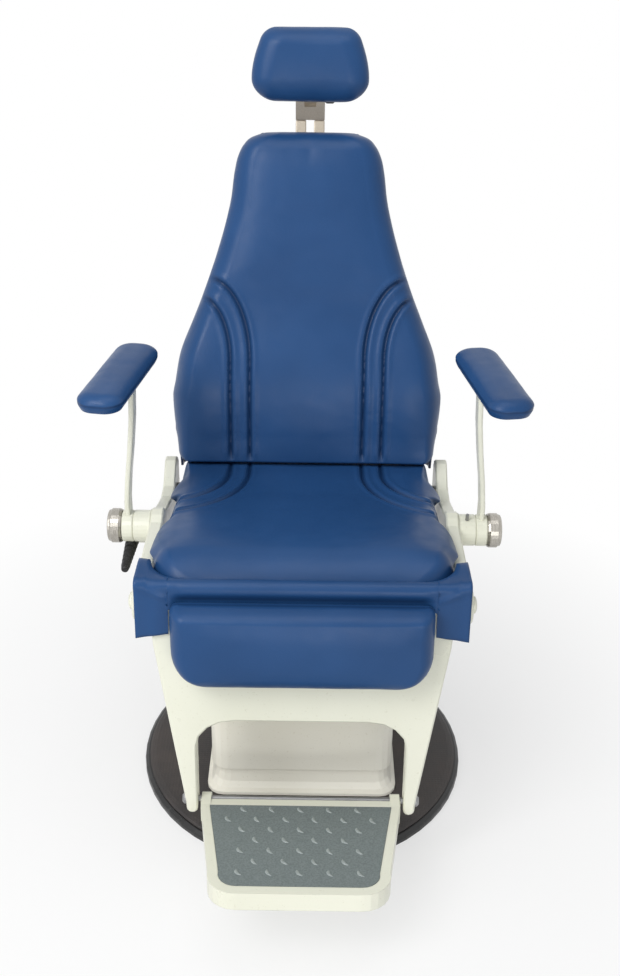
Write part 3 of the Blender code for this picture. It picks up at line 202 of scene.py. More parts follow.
def linear(r, g, b):
    """Scene-linear colour from 8-bit display values."""
    out = []
    for value in (r, g, b):
        v = value / 255
        out.append(v / 12.92 if v <= 0.04045 else ((v + 0.055) / 1.055) ** 2.4)
    return (*out, 1.0)


class Look:
    """A node material with a Principled shader and a few shorthands for adding texture."""

    def __init__(self, name, rough=0.5, metal=0.0):
        self.material = bpy.data.materials.new(name)
        self.material.use_nodes = True
        self.tree = self.material.node_tree
        self.shader = self.tree.nodes["Principled BSDF"]
        self.shader.inputs["Roughness"].default_value = rough
        self.shader.inputs["Metallic"].default_value = metal
        self.place = self.tree.nodes.new("ShaderNodeTexCoord").outputs["Object"]

    def node(self, kind, **values):
        """A new node; a value that isn't one of its properties goes to the socket of that name."""
        made = self.tree.nodes.new(kind)
        for key, value in values.items():
            if hasattr(made, key):
                setattr(made, key, value)
            else:
                made.inputs[key.replace("_", " ")].default_value = value
        return made

    def link(self, out, into):
        self.tree.links.new(out, into)

    def constants(self, **values):
        """Constants on the shader's own sockets."""
        for key, value in values.items():
            self.shader.inputs[key.replace("_", " ")].default_value = value

    def noise(self, scale, detail=3.0, rough=0.5, stretch=None):
        made = self.node("ShaderNodeTexNoise", Scale=scale, Detail=detail, Roughness=rough)
        place = self.place
        if stretch:
            mapping = self.node("ShaderNodeMapping", Scale=stretch)
            self.link(place, mapping.inputs["Vector"])
            place = mapping.outputs["Vector"]
        self.link(place, made.inputs["Vector"])
        return made.outputs["Fac"]

    def cells(self, scale):
        made = self.node("ShaderNodeTexVoronoi", feature="SMOOTH_F1", Scale=scale)
        self.link(self.place, made.inputs["Vector"])
        return made.outputs["Distance"]

    def attribute(self, name):
        return self.node("ShaderNodeAttribute", attribute_name=name).outputs["Fac"]

    def ramp(self, value, low, high, low_at=0.35, high_at=0.65):
        made = self.node("ShaderNodeValToRGB")
        for stop, colour, at in zip(made.color_ramp.elements, (low, high), (low_at, high_at)):
            stop.position = at
            stop.color = colour if len(colour) == 4 else (*colour, 1)
        self.link(value, made.inputs["Fac"])
        return made.outputs["Color"]

    def span(self, value, low, high, low_at=0.3, high_at=0.7):
        made = self.node("ShaderNodeMapRange", From_Min=low_at, From_Max=high_at, To_Min=low, To_Max=high)
        self.link(value, made.inputs["Value"])
        return made.outputs["Result"]

    def mixed(self, share, one, two, blend="MIX"):
        made = self.node("ShaderNodeMix", data_type="RGBA", blend_type=blend)
        for value, index in ((share, 0), (one, 6), (two, 7)):
            if isinstance(value, (float, int, tuple)):
                made.inputs[index].default_value = value
            else:
                self.link(value, made.inputs[index])
        return made.outputs[2]

    def colour(self, value):
        self.link(value, self.shader.inputs["Base Color"])

    def rough(self, value):
        self.link(value, self.shader.inputs["Roughness"])

    def bump(self, *layers, under=None):
        """Bump from layers of height, strength and distance, over the normal given as under."""
        last = under
        for height, strength, distance in layers:
            made = self.node("ShaderNodeBump", Strength=strength, Distance=distance)
            self.link(height, made.inputs["Height"])
            if last is not None:
                self.link(last, made.inputs["Normal"])
            last = made.outputs["Normal"]
        self.link(last, self.shader.inputs["Normal"])


def vinyl():
    """Blue upholstery vinyl: fine grain, soft sheen, and painted shade that darkens the sewn grooves."""
    look = Look("blue_vinyl", rough=0.4)
    cloud = look.noise(7.0, detail=2.0)
    base = look.ramp(cloud, linear(28, 64, 109), linear(34, 71, 118), low_at=0.3, high_at=0.7)
    fleck = look.noise(900.0, detail=2.0)
    base = look.mixed(look.span(fleck, 0.0, 0.22), base, linear(46, 84, 130))
    # Painted shade: the colour darkens towards deep blue in the sewn grooves and creases.
    crease_shade = look.span(look.attribute("crease_shade"), 0.0, 0.75, low_at=0.0, high_at=1.0)
    look.colour(look.mixed(crease_shade, base, linear(11, 31, 62)))
    look.rough(look.span(look.noise(38.0), 0.31, 0.41))
    grain = look.cells(720.0)
    look.bump((look.noise(90.0, detail=2.0), 0.06, 0.0012), (grain, 0.18, 0.0005))
    look.constants(Specular_IOR_Level=0.22)
    return look.material


def enamel(name, one, two, rough, peel=0.10):
    """Sprayed enamel: slight orange peel, faint uneven tone and a few dull patches."""
    look = Look(name, rough)
    tone = look.ramp(look.noise(3.2), one, two)
    speck = look.noise(260.0, detail=2.0)
    speck = look.ramp(speck, (0.90, 0.89, 0.86), (1, 1, 1), low_at=0.26, high_at=0.34)
    look.colour(look.mixed(1.0, tone, speck, "MULTIPLY"))
    look.rough(look.span(look.noise(16.0, detail=4.0), rough - 0.07, rough + 0.09))
    round_edge = look.node("ShaderNodeBevel", samples=4, Radius=0.0014)
    look.bump((look.noise(420.0, detail=1.0), peel, 0.0006), under=round_edge.outputs["Normal"])
    look.constants(Coat_Weight=0.18, Coat_Roughness=0.18)
    return look.material


def brushed(name, one, two, rough, stretch, metal=1.0):
    """Metal with fine lines drawn along one direction."""
    look = Look(name, rough, metal)
    lines = look.noise(95.0, detail=4.0, rough=0.6, stretch=stretch)
    look.colour(look.ramp(lines, one, two, low_at=0.3, high_at=0.7))
    look.rough(look.span(lines, rough - 0.08, rough + 0.12))
    look.bump((lines, 0.10, 0.0004))
    return look.material


def rubber(name, one, two, rough, scale, depth):
    """Dull speckled rubber."""
    look = Look(name, rough)
    speck = look.noise(scale, rough=0.65)
    look.colour(look.ramp(speck, one, two, low_at=0.38, high_at=0.62))
    look.rough(look.span(look.noise(24.0), rough - 0.08, rough + 0.10))
    look.bump((look.noise(scale * 1.4, detail=2.0), 0.18, depth))
    look.constants(Specular_IOR_Level=0.35)
    return look.material


def black_steel():
    """Black baked enamel with fine dust and light rub marks."""
    look = Look("base_black", rough=0.32)
    rub = look.noise(30.0, detail=6.0, rough=0.7, stretch=(1.0, 6.0, 1.0))
    rub = look.ramp(rub, (0, 0, 0), (1, 1, 1), low_at=0.62, high_at=0.80)
    dust = look.span(look.noise(7.0, detail=5.0), 0.0, 0.40)
    dust = look.mixed(dust, linear(19, 20, 22), linear(47, 47, 47))
    look.colour(look.mixed(rub, dust, linear(72, 72, 70)))
    look.rough(look.span(look.noise(18.0, detail=4.0), 0.25, 0.46))
    look.bump((look.noise(500.0, detail=2.0), 0.08, 0.0005))
    return look.material


def ribbed_mat():
    """Black floor mat with a fine raised grid."""
    look = Look("base_rubber", rough=0.55)
    waves = [look.node("ShaderNodeTexWave", bands_direction=way, Scale=55.0) for way in "XY"]
    for wave in waves:
        look.link(look.place, wave.inputs["Vector"])
    grid = look.mixed(1.0, waves[0].outputs["Color"], waves[1].outputs["Color"], "MULTIPLY")
    dust = look.noise(9.0, detail=6.0, rough=0.65)
    look.colour(look.ramp(dust, linear(34, 31, 31), linear(70, 63, 60), high_at=0.75))
    look.rough(look.span(dust, 0.42, 0.62))
    look.bump((grid, 0.30, 0.0008), (look.noise(300.0, detail=2.0), 0.08, 0.0005))
    return look.material


def plywood():
    """Bare board with stretched rings."""
    look = Look("board", rough=0.7)
    rings = look.noise(14.0, detail=5.0, rough=0.6, stretch=(1.0, 9.0, 0.6))
    look.colour(look.ramp(rings, linear(116, 82, 52), linear(160, 121, 80), low_at=0.3, high_at=0.7))
    look.rough(look.span(rings, 0.60, 0.80))
    look.bump((rings, 0.15, 0.0008))
    return look.material


def moulded(name, one, two, rough, scale):
    """Moulded plastic with a fine spark-eroded texture."""
    look = Look(name, rough)
    look.colour(look.ramp(look.noise(11.0), one, two))
    look.rough(look.span(look.noise(30.0), rough - 0.06, rough + 0.08))
    look.bump((look.noise(scale, detail=2.0, rough=0.6), 0.16, 0.0005))
    return look.material


LOOKS = {
    "blue_vinyl": vinyl(),
    "frame_paint": enamel("frame_paint", linear(226, 226, 208), linear(233, 233, 217), rough=0.34),
    "column_paint": enamel("column_paint", linear(240, 236, 221), linear(245, 242, 230),
                           rough=0.42, peel=0.14),
    "inner_steel": brushed("inner_steel", linear(126, 127, 128), linear(165, 165, 166),
                           rough=0.38, stretch=(1, 18, 18)),
    "head_steel": brushed("head_steel", linear(206, 193, 172), linear(228, 216, 198),
                          rough=0.36, stretch=(14, 14, 1), metal=0.4),
    "knob_aluminium": brushed("knob_aluminium", linear(148, 144, 136), linear(198, 194, 186),
                              rough=0.30, stretch=(20, 1, 1)),
    "base_black": black_steel(),
    "base_rubber": ribbed_mat(),
    "foot_rubber": rubber("foot_rubber", linear(106, 115, 115), linear(124, 133, 132),
                          rough=0.52, scale=340.0, depth=0.0006),
    # Lighter copy of the mat rubber for the treads: a painted highlight.
    "foot_stud_highlight": rubber("foot_stud_highlight", linear(140, 148, 146), linear(160, 168, 166),
                        rough=0.40, scale=340.0, depth=0.0004),
    "grip_rubber": rubber("grip_rubber", linear(24, 24, 25), linear(40, 40, 41),
                          rough=0.55, scale=420.0, depth=0.0006),
    "board": plywood(),
    "shell_plastic": moulded("shell_plastic", linear(26, 52, 98), linear(31, 60, 110),
                             rough=0.42, scale=800.0),
    "black_plastic": moulded("black_plastic", linear(22, 22, 23), linear(33, 33, 34),
                             rough=0.45, scale=900.0),
}


def finish_slots():
    """Each node of the frame takes the finish of its slot in the record."""
    for entry in frame["record"]["subparts"]:
        materials = NODES[entry["node"]].data.materials
        materials.clear()
        materials.append(LOOKS[entry["material_slot"]])


def piece(name, mesh, body, slot):
    """A visible piece with its slot's finish, riding on a body where one is given."""
    obj = bpy.data.objects.new(name, mesh)
    bpy.context.scene.collection.objects.link(obj)
    mesh.materials.clear()
    mesh.materials.append(LOOKS[slot])
    mesh.shade_smooth()
    mesh.set_sharp_from_angle(angle=SHARP_ANGLE)
    if body:
        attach(obj, body)
    return obj


def finished(bm, name, matrix=None):
    """The mesh of bm with its normals made consistent, moved to its place if a matrix is given."""
    bmesh.ops.recalc_face_normals(bm, faces=bm.faces[:])
    if matrix is not None:
        bm.transform(matrix)
    mesh = bpy.data.meshes.new(name)
    bm.to_mesh(mesh)
    bm.free()
    return mesh


def unit(value):
    """The value kept between 0 and 1."""
    return min(1.0, max(0.0, value))


def eased(value, low, high):
    """Smooth step from 0 at low to 1 at high."""
    share = unit((value - low) / (high - low))
    return share * share * (3 - 2 * share)


def bell(offset, width):
    """1 at no offset, falling off over about a width."""
    return math.exp(-((offset / width) ** 2))


def corner(distance, radius):
    """How far a rounded corner draws the outline in, at a distance from its end."""
    if distance >= radius:
        return 0.0
    return radius - math.sqrt(max(0.0, radius**2 - (radius - distance) ** 2))


def shoulder(distance, radius):
    """Share of the full height on a rounded edge, at a distance from its outline."""
    if distance >= radius:
        return 1.0
    return math.sqrt(max(0.0, 1 - (1 - distance / radius) ** 2))


def smooth(xs, ys, x):
    """Cubic through the given stations, level wherever they turn back."""
    xs, ys = np.asarray(xs, float), np.asarray(ys, float)
    slope = np.diff(ys) / np.diff(xs)
    tangent = np.concatenate(([slope[0]], (slope[1:] + slope[:-1]) / 2, [slope[-1]]))
    flat = slope[1:] * slope[:-1] <= 0
    tangent[1:-1][flat] = 0
    x = np.clip(x, xs[0], xs[-1])
    i = np.clip(np.searchsorted(xs, x) - 1, 0, len(xs) - 2)
    h = xs[i + 1] - xs[i]
    t = (x - xs[i]) / h
    first = (2 * t**3 - 3 * t**2 + 1) * ys[i] + (t**3 - 2 * t**2 + t) * h * tangent[i]
    return float(first + (-2 * t**3 + 3 * t**2) * ys[i + 1] + (t**3 - t**2) * h * tangent[i + 1])


def lengths(points):
    """Distance along a line of points, from its first point to each of them."""
    return np.concatenate(([0], np.cumsum(np.linalg.norm(np.diff(points, axis=0), axis=1))))


def spaced(low_radius, high_radius, length, step):
    """Stations along a length, closer together where the ends round off."""

    def rounded(radius):
        count = max(4, round(radius * QUARTER_ARC / step))
        return [radius * (1 - math.cos(math.pi / 2 * i / count)) for i in range(count + 1)]

    inner = length - low_radius - high_radius
    count = max(2, round(inner / step))
    out = rounded(low_radius)[:-1]
    out += [low_radius + inner * i / count for i in range(count)]
    return out + [length - distance for distance in reversed(rounded(high_radius))]


class Cushion:
    """Sewn pad in its own space: x across, run along it, height off its board.

    half gives half the width at a run. side, start and end are the radii of the face's edges, and corners
    those of the outline at either end. crown and extra raise the face, rim is the share of the height where
    the face begins, and inset is how far the edge draws in below it, or front_inset at the far end. meets is
    the run over which the start lies against another pad.
    """

    def __init__(self, length, half, height, side, start, end, crown, rim, inset, corners,
                 extra=None, front_inset=None, meets=0.0):
        self.length, self.half, self.height = length, half, height
        self.side, self.start, self.end = side, start, end
        self.crown, self.extra = crown, extra
        self.base = height * rim
        self.inset = inset
        self.front_inset = inset if front_inset is None else front_inset
        self.corners, self.meets = corners, meets

    def rise(self, x, run):
        """Height of the face; the side is tighter near another pad."""
        half = self.half(run)
        ends = shoulder(run, self.start) * shoulder(self.length - run, self.end)
        side = self.side
        if self.meets:
            side *= TIGHT_SIDE + TIGHT_GROWTH * min(1, run / TIGHT_RUN)
        lift = shoulder(half - abs(x), side) * ends
        middle = self.crown * (1 - min(1, abs(x) / half) ** 2) * math.sin(math.pi * run / self.length)
        if self.extra:
            middle += self.extra(x, run)
        return self.base + (self.height - self.base + middle) * lift

    def stations(self, step):
        """Places along and across the pad at which its skin has points."""
        low, high = max(self.start, self.corners[0]), max(self.end, self.corners[1])
        runs = spaced(low, high, self.length, step)
        widest = max(self.half(r) for r in runs)
        return np.array(runs), np.array(spaced(self.side, self.side, 2 * widest, step)) - widest

    def outline(self, runs, shape):
        """Flat places of the face's points, row by row."""
        edge = shape[-1] - self.side
        grid = []
        for run in runs:
            half = self.half(run)
            side = min(self.side, half * SIDE_LIMIT)
            line = []
            for s in shape:
                if abs(s) <= edge:
                    line.append((s / edge * (half - side), run))
                else:
                    line.append((math.copysign(half - side + (abs(s) - edge) / self.side * side, s), run))
            grid.append(line)
        return grid

    def face(self, bm, grid, lower):
        """Upper skin; lower is how much it starts below its full height."""
        verts = []
        for line in grid:
            row = []
            for x, run in line:
                h = self.rise(x, run)
                drop = lower * min(1, (h - self.base) / (self.height - self.base))
                if self.meets:
                    drop *= eased(run, 0, self.meets)
                row.append(bm.verts.new((x, run, h - drop)))
            verts.append(row)
        for a, b in zip(verts, verts[1:]):
            for i in range(len(a) - 1):
                bm.faces.new((a[i], a[i + 1], b[i + 1], b[i]))
        return verts

    def inward(self, flat):
        """For each point of the rim, the way in under the pad and the power that shapes the fall.

        Both change over the last quarter of the run where the far end draws in more.
        """
        turns, powers = [], []
        deeper = self.front_inset - self.inset
        for k, here in enumerate(flat):
            tangent = flat[(k + 1) % len(flat)] - flat[k - 1]
            turn = Vector((-tangent.y, tangent.x)).normalized()
            if turn.dot(Vector((0, self.length / 2)) - here) < 0:
                turn = -turn
            share = unit(here.y / self.length * 4 - 3)
            turns.append(turn * (self.inset + deeper * share))
            powers.append(EDGE_POWER - FRONT_POWER_DROP * share if deeper > 0 else EDGE_POWER)
        return turns, powers

    def body(self, runs, shape, lower, levels):
        """Closed skin: the face, the edge below it in levels, and a back of long quads."""
        bm = bmesh.new()
        grid = self.outline(runs, shape)
        verts = self.face(bm, grid, lower)
        across, down = len(shape), len(runs)
        loop = [(0, i) for i in range(across)] + [(j, across - 1) for j in range(1, down)]
        loop += [(down - 1, i) for i in range(across - 2, -1, -1)] + [(j, 0) for j in range(down - 2, 0, -1)]
        flat = [Vector(grid[j][i]) for j, i in loop]
        ring = [verts[j][i] for j, i in loop]
        turns, powers = self.inward(flat)
        for level in range(1, levels + 1):
            share = level / levels
            lower_ring = []
            for here, turn, power in zip(flat, turns, powers):
                at = here + turn * share**power
                lower_ring.append(bm.verts.new((at.x, at.y, self.base * (1 - share))))
            for k in range(len(ring)):
                n = (k + 1) % len(ring)
                bm.faces.new((ring[n], ring[k], lower_ring[k], lower_ring[n]))
            ring = lower_ring
        far_right = across + down - 2
        far_left = far_right + across - 1
        right = ring[across - 1:far_right + 1]
        left = [ring[0]] + ring[far_left:][::-1][:down - 2] + [ring[far_left]]
        bm.faces.new(ring[:across] + [right[1], left[1]])
        for j in range(1, down - 2):
            bm.faces.new((left[j], right[j], right[j + 1], left[j + 1]))
        bm.faces.new([right[-2]] + ring[far_right:far_left + 1] + [left[-2]])
        return finished(bm, "cushion")


def coords(mesh):
    co = np.zeros(len(mesh.vertices) * 3)
    mesh.vertices.foreach_get("co", co)
    return co.reshape(-1, 3)


def set_coords(mesh, co):
    mesh.vertices.foreach_set("co", np.ascontiguousarray(co, float).ravel())
    mesh.update()


def normals(mesh):
    out = np.zeros(len(mesh.vertices) * 3, np.float32)
    mesh.vertices.foreach_get("normal", out)
    return out.reshape(-1, 3).astype(float)


def set_painted_shade(mesh, values):
    """How deep in a groove or crease each point lies, which the vinyl darkens as painted shade."""
    layer = mesh.attributes.new("crease_shade", "FLOAT", "POINT")
    layer.data.foreach_set("value", np.asarray(values, np.float32))


def side_seams(half, straight, reaches, last_turn):
    """Two sewn lines on each side, straight from the start and then bending out to the edge."""
    seams = []
    for sign in (-1, 1):
        for x, reach in zip((SEAM_INNER, SEAM_OUTER), reaches):
            path = [(sign * x, -0.01), (sign * x, straight)]
            for turn in range(3, last_turn + 1, 3):
                bend = math.radians(turn)
                out = (half(reach) - x) * (1 - math.cos(bend))
                path.append((sign * (x + out), straight + (reach - straight) * math.sin(bend)))
            path.append((sign * (half(reach) + 0.01), reach + 0.003))
            seams.append(path)
    return seams


def seam_tree(seams):
    """Close points along the seams, each with its place along its own seam."""
    dense = []
    for number, path in enumerate(seams):
        path = np.array(path, float)
        run = lengths(path)
        for s in np.arange(0, run[-1], SEAM_STEP):
            along = s + number * SEAM_APART
            dense.append((np.interp(s, run, path[:, 0]), np.interp(s, run, path[:, 1]), along))
    tree = KDTree(max(1, len(dense)))
    for i, (x, y, _) in enumerate(dense):
        tree.insert((x, y, 0), i)
    tree.balance()
    return tree, dense


def swell(mesh, held, cap):
    """Cloth under pressure, held where told; no point moves further than cap."""
    scene = bpy.context.scene
    obj = bpy.data.objects.new("swelling", mesh)
    scene.collection.objects.link(obj)
    pin = obj.vertex_groups.new(name="pin")
    pin.add([int(i) for i in np.nonzero(held)[0]], 1.0, "ADD")
    cloth = obj.modifiers.new("Cloth", "CLOTH")
    for key, value in CLOTH.items():
        setattr(cloth.settings, key, value)
    cloth.settings.effector_weights.gravity = 0
    cloth.collision_settings.use_collision = False
    cloth.collision_settings.use_self_collision = False
    cloth.point_cache.frame_start = 1
    cloth.point_cache.frame_end = CLOTH_FRAMES
    for step in range(1, CLOTH_FRAMES + 1):
        scene.frame_set(step)
    start = coords(mesh)
    seen = obj.evaluated_get(bpy.context.evaluated_depsgraph_get())
    moved = coords(seen.data) - start
    far = np.linalg.norm(moved, axis=1)
    limit = cap * np.tanh(far / cap) / np.maximum(far, 1e-9)
    obj.modifiers.remove(cloth)
    bpy.data.objects.remove(obj)
    set_coords(mesh, start + moved * limit[:, None])
    scene.frame_set(1)


def between(values):
    """Twice as many rows, with smooth values halfway between the given ones."""
    wide = np.concatenate((values[:1], values, values[-1:]))
    middle = (9 * (wide[1:-2] + wide[2:-1]) - wide[:-3] - wide[3:]) / 16
    out = np.zeros((2 * len(values) - 1, *values.shape[1:]))
    out[::2] = values
    out[1::2] = middle
    return out


def sewn(mesh, cushion, seams):
    """Presses the sewn channels into the face, raises a soft ridge beside them, puckers the cloth and marks
    the grooves for painted shade.
    """
    co, out = coords(mesh), normals(mesh)
    base = cushion.base
    rim = base * 0.9
    crease_shade = np.zeros(len(co))
    shift = np.zeros(len(co))
    if seams:
        tree, dense = seam_tree(seams)
        for i, (x, run, h) in enumerate(co):
            if h < rim or out[i, 2] < -0.2:
                continue
            _, k, d = tree.find((x, run, 0))
            if d > SEAM_REACH:
                continue
            s = dense[k][2]
            fade = unit((h - rim) / (0.25 * base))
            if cushion.meets:
                fade *= unit((run - 0.004) / 0.018)
            fade *= unit((cushion.half(run) - abs(x) - 0.002) / 0.014)
            groove = bell(d, SEAM_WIDTH)
            ridge = bell(d - 2.6 * SEAM_WIDTH, 1.3 * SEAM_WIDTH)
            wave = noise.noise((s * 75.0, 0.3, d * 20)) + 0.6 * noise.noise((s * 170.0, 4.1, d * 30))
            pucker = bell(d, PUCKER_REACH) * (1 - bell(d, 1.2 * SEAM_WIDTH))
            pressed = -SEAM_DEPTH * groove + RIDGE_SHARE * SEAM_DEPTH * ridge
            shift[i] = fade * (pressed + PUCKER_DEPTH * wave * pucker)
            # Painted shade, deepest at the bottom of the groove.
            crease_shade[i] = fade * groove
    edge = np.exp(-(((co[:, 2] - base) / EDGE_SEAM_WIDTH) ** 2)) * (np.abs(out[:, 2]) < 0.8)
    shift -= EDGE_SEAM_DEPTH * edge
    for i, (x, run, h) in enumerate(co):
        if h > base:
            spot = Vector((x * 9, run * 9, h * 9))
            shift[i] += UNEVEN * noise.noise(spot) + FINE_UNEVEN * noise.noise(spot * 4.7)
    set_coords(mesh, co + out * shift[:, None])
    # Painted shade in the seam grooves and along the rim seam.
    set_painted_shade(mesh, np.maximum(crease_shade, 0.7 * edge))


def thread(bm, points, across):
    """One stitch: a thin closed tube through points that each have a normal."""
    side = Vector((across[0], across[1], 0)).normalized()
    rings = []
    for place, normal in points:
        ring = []
        for k in range(STITCH_SIDES):
            a = 2 * math.pi * k / STITCH_SIDES
            offset = (side * math.cos(a) + normal * math.sin(a)) * STITCH_RADIUS
            ring.append(bm.verts.new(place + offset))
        rings.append(ring)
    for a, b in zip(rings, rings[1:]):
        for k in range(STITCH_SIDES):
            n = (k + 1) % STITCH_SIDES
            bm.faces.new((a[k], a[n], b[n], b[k]))
    bm.faces.new(rings[0][::-1])
    bm.faces.new(rings[-1])


def stitches(mesh, seams):
    """Thread stitches lying on the cloth beside each sewn channel."""
    tree = BVHTree.FromPolygons([v.co for v in mesh.vertices], [p.vertices[:] for p in mesh.polygons])
    bow = ((-0.5, -0.0004), (-0.3, 0.0002), (0.0, 0.00035), (0.3, 0.0002), (0.5, -0.0004))
    bm = bmesh.new()
    for path in seams:
        path = np.array(path, float)
        run = lengths(path)
        for s in np.arange(STITCH_MARGIN, run[-1] - STITCH_MARGIN, STITCH_PITCH):
            ends = (s - 1e-3, s + 1e-3)
            at = [np.array([np.interp(t, run, path[:, 0]), np.interp(t, run, path[:, 1])]) for t in ends]
            along = (at[1] - at[0]) / max(1e-9, np.linalg.norm(at[1] - at[0]))
            across = np.array([-along[1], along[0]])
            middle = (at[0] + at[1]) / 2 + across * STITCH_OFFSET
            points = []
            for share, lift in bow:
                spot = middle + along * share * STITCH_PITCH * STITCH_SHARE
                place, normal, _, _ = tree.ray_cast(Vector((spot[0], spot[1], 0.3)), Vector((0, 0, -1)))
                if place is None or normal.z < 0.25:
                    break
                points.append((place + normal * lift, normal))
            if len(points) == len(bow):
                thread(bm, points, across)
    return finished(bm, "stitches")


def inside_out(mesh):
    bm = bmesh.new()
    bm.from_mesh(mesh)
    volume = bm.calc_volume(signed=True)
    bm.free()
    return volume < 0


def placed(mesh, place, matrix):
    """Moves a mesh from its pad's own space to the scene."""
    set_coords(mesh, [matrix @ Vector(place(*p)) for p in coords(mesh)])
    if inside_out(mesh):
        mesh.flip_normals()
    return mesh


def halved(values):
    """The values with their midpoints."""
    return np.sort(np.concatenate((values, (values[1:] + values[:-1]) / 2)))


def upholster(name, node, body, cushion, place, matrix, step, lower, cap, seams=()):
    """Swells a pad on a coarse grid, refines it, sews it and shows it instead of its CAD solid."""
    runs, shape = cushion.stations(step)
    mesh = cushion.body(runs, shape, lower, levels=3)
    co = coords(mesh)
    held = (co[:, 2] <= cushion.base + 1e-6) | (co[:, 1] < 0.2 * cushion.meets)
    if seams:
        tree, _ = seam_tree(seams)
        for i, (x, run, h) in enumerate(co):
            if h > cushion.base and tree.find((x, run, 0))[2] < SEAM_HELD:
                held[i] = True
    swell(mesh, held, cap)
    count = len(runs) * len(shape)
    moved = (coords(mesh) - co)[:count].reshape(len(runs), len(shape), 3)
    bpy.data.meshes.remove(mesh)
    for _ in range(SMOOTHINGS):
        wide = np.pad(moved, ((1, 1), (1, 1), (0, 0)), mode="edge")
        around = wide[2:, 1:-1] + wide[:-2, 1:-1] + wide[1:-1, 2:] + wide[1:-1, :-2]
        moved = 0.5 * moved + 0.125 * around
    for _ in range(REFINEMENTS):
        moved = between(between(moved).transpose(1, 0, 2)).transpose(1, 0, 2)
        runs, shape = halved(runs), halved(shape)
    fine = cushion.body(runs, shape, lower, levels=6)
    at = coords(fine)
    moved = moved.reshape(-1, 3)
    if seams:
        apart = np.array([tree.find((x, run, 0))[2] for x, run, _ in at[:len(moved)]])
        moved = moved * (1 - np.exp(-((apart / SEAM_CALM) ** 2)))[:, None]
    at[:len(moved)] += moved
    set_coords(fine, at)
    sewn(fine, cushion, seams)
    row = stitches(fine, seams) if seams else None
    obj = piece(name, placed(fine, place, matrix), body, "blue_vinyl")
    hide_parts(node)
    if row is not None:
        placed(row, place, matrix)
        set_painted_shade(row, np.zeros(len(row.vertices)))
        piece(name + "_stitching", row, body, "blue_vinyl")


def back_cushion():
    """Back pad, widest at the lumbar swell and narrow at the shoulders."""
    stations = (0, 0.03, 0.06, 0.09, 0.124, 0.15, 0.2065, 0.26)
    stations += (0.3135, 0.366, 0.418, 0.47, 0.52, 0.545, 0.565, 0.577, 0.585)
    shares = (0.9556, 0.9636, 0.9778, 0.9919, 1.0, 0.9818, 0.9374, 0.8485)
    shares += (0.7596, 0.6828, 0.6182, 0.5657, 0.5374, 0.5131, 0.469, 0.414, 0.322)
    widths = [BACK_HALF_WIDTH * share for share in shares]
    scale = BACK_LENGTH / stations[-1]
    low_corner, board_face, raised_run = 0.020, 0.005, 0.2

    def half(run):
        return smooth(stations, widths, run / scale) - corner(run, low_corner)

    def lumbar(x, run):
        at = run / scale
        wing = math.exp(-(((abs(x) - 0.19) / 0.035) ** 2) - ((at - 0.14) / 0.12) ** 2)
        return LUMBAR * bell(at - 0.15, 0.11) + 0.006 * wing

    def place(x, run, height):
        """The lower end starts a little higher, over the fuller rear edge of the seat."""
        return x, board_face - height, BACK_START + run + REAR_FULL * max(0.0, 1 - run / raised_run)

    seams = side_seams(half, straight=0.20, reaches=(0.337 * scale, 0.303 * scale), last_turn=85)
    cushion = Cushion(BACK_LENGTH, half, BACK_DEPTH, side=0.036, start=0.007, end=0.030, crown=0.004,
                      rim=0.36, inset=0.008, corners=(low_corner, 0.03), extra=lumbar, meets=MEETS)
    upholster("back_upholstery", "back_cushion", "backrest", cushion, place, BACK,
              step=0.0084, lower=0.004, cap=0.007, seams=seams)


def seat_cushion():
    """Seat pad, fuller at its rear edge and swelling over the side rails."""
    length = SEAT_CUSHION_REAR - SEAT_CUSHION_FRONT
    side, rear_corner = 0.028, 0.014
    back_edge, back_height, back_slope = 0.1645, 0.0446, 0.158
    rail_clear, hub_clear, clear_over = 0.009, 0.025, 0.009

    def half(run):
        straight = SEAT_HALF_REAR + (SEAT_HALF_FRONT - SEAT_HALF_REAR) * min(1, run / (length - 0.07))
        return straight - corner(run, rear_corner) - corner(length - run, SEAT_CORNER)

    def dish(x, run):
        wing = 0.006 * math.exp(-(((abs(x) - 0.178) / 0.032) ** 2) - ((run - 0.075) / 0.06) ** 2)
        return wing + REAR_FULL * bell(run, 0.11) - 0.004 * bell(run - 0.17, 0.09)

    def place(x, run, height):
        """The rear edge stays just under the back, and the sides swell over the rails, clear of the hubs."""
        u, top = SEAT_CUSHION_REAR - run, PAN_TOP + GAP + height
        under = back_height + REAR_FULL - back_slope * (u - back_edge)
        edge = max(0.0, 1 - max(0.0, half(run) - abs(x)) / side)
        free = eased(u, -0.180, -0.140) * eased(-u, -0.135, -0.095)
        above = rail_clear + hub_clear * (1 - eased(abs(u), 0.040, 0.085))
        out = OVERHANG * edge * free * eased(top, above, above + clear_over)
        return x + math.copysign(out, x), u, min(top, under) if run < 0.05 else top

    seams = side_seams(half, straight=0.068, reaches=(0.222, 0.172), last_turn=90)
    cushion = Cushion(length, half, SEAT_CUSHION_HEIGHT - 0.004, side=side, start=0.009, end=0.060,
                      crown=0.008, rim=0.30, inset=0.010, corners=(rear_corner, SEAT_CORNER), extra=dish,
                      front_inset=0.025, meets=MEETS)
    upholster("seat_upholstery", "seat_cushion", "seat", cushion, place, SEAT,
              step=0.0084, lower=0.004, cap=0.006, seams=seams)


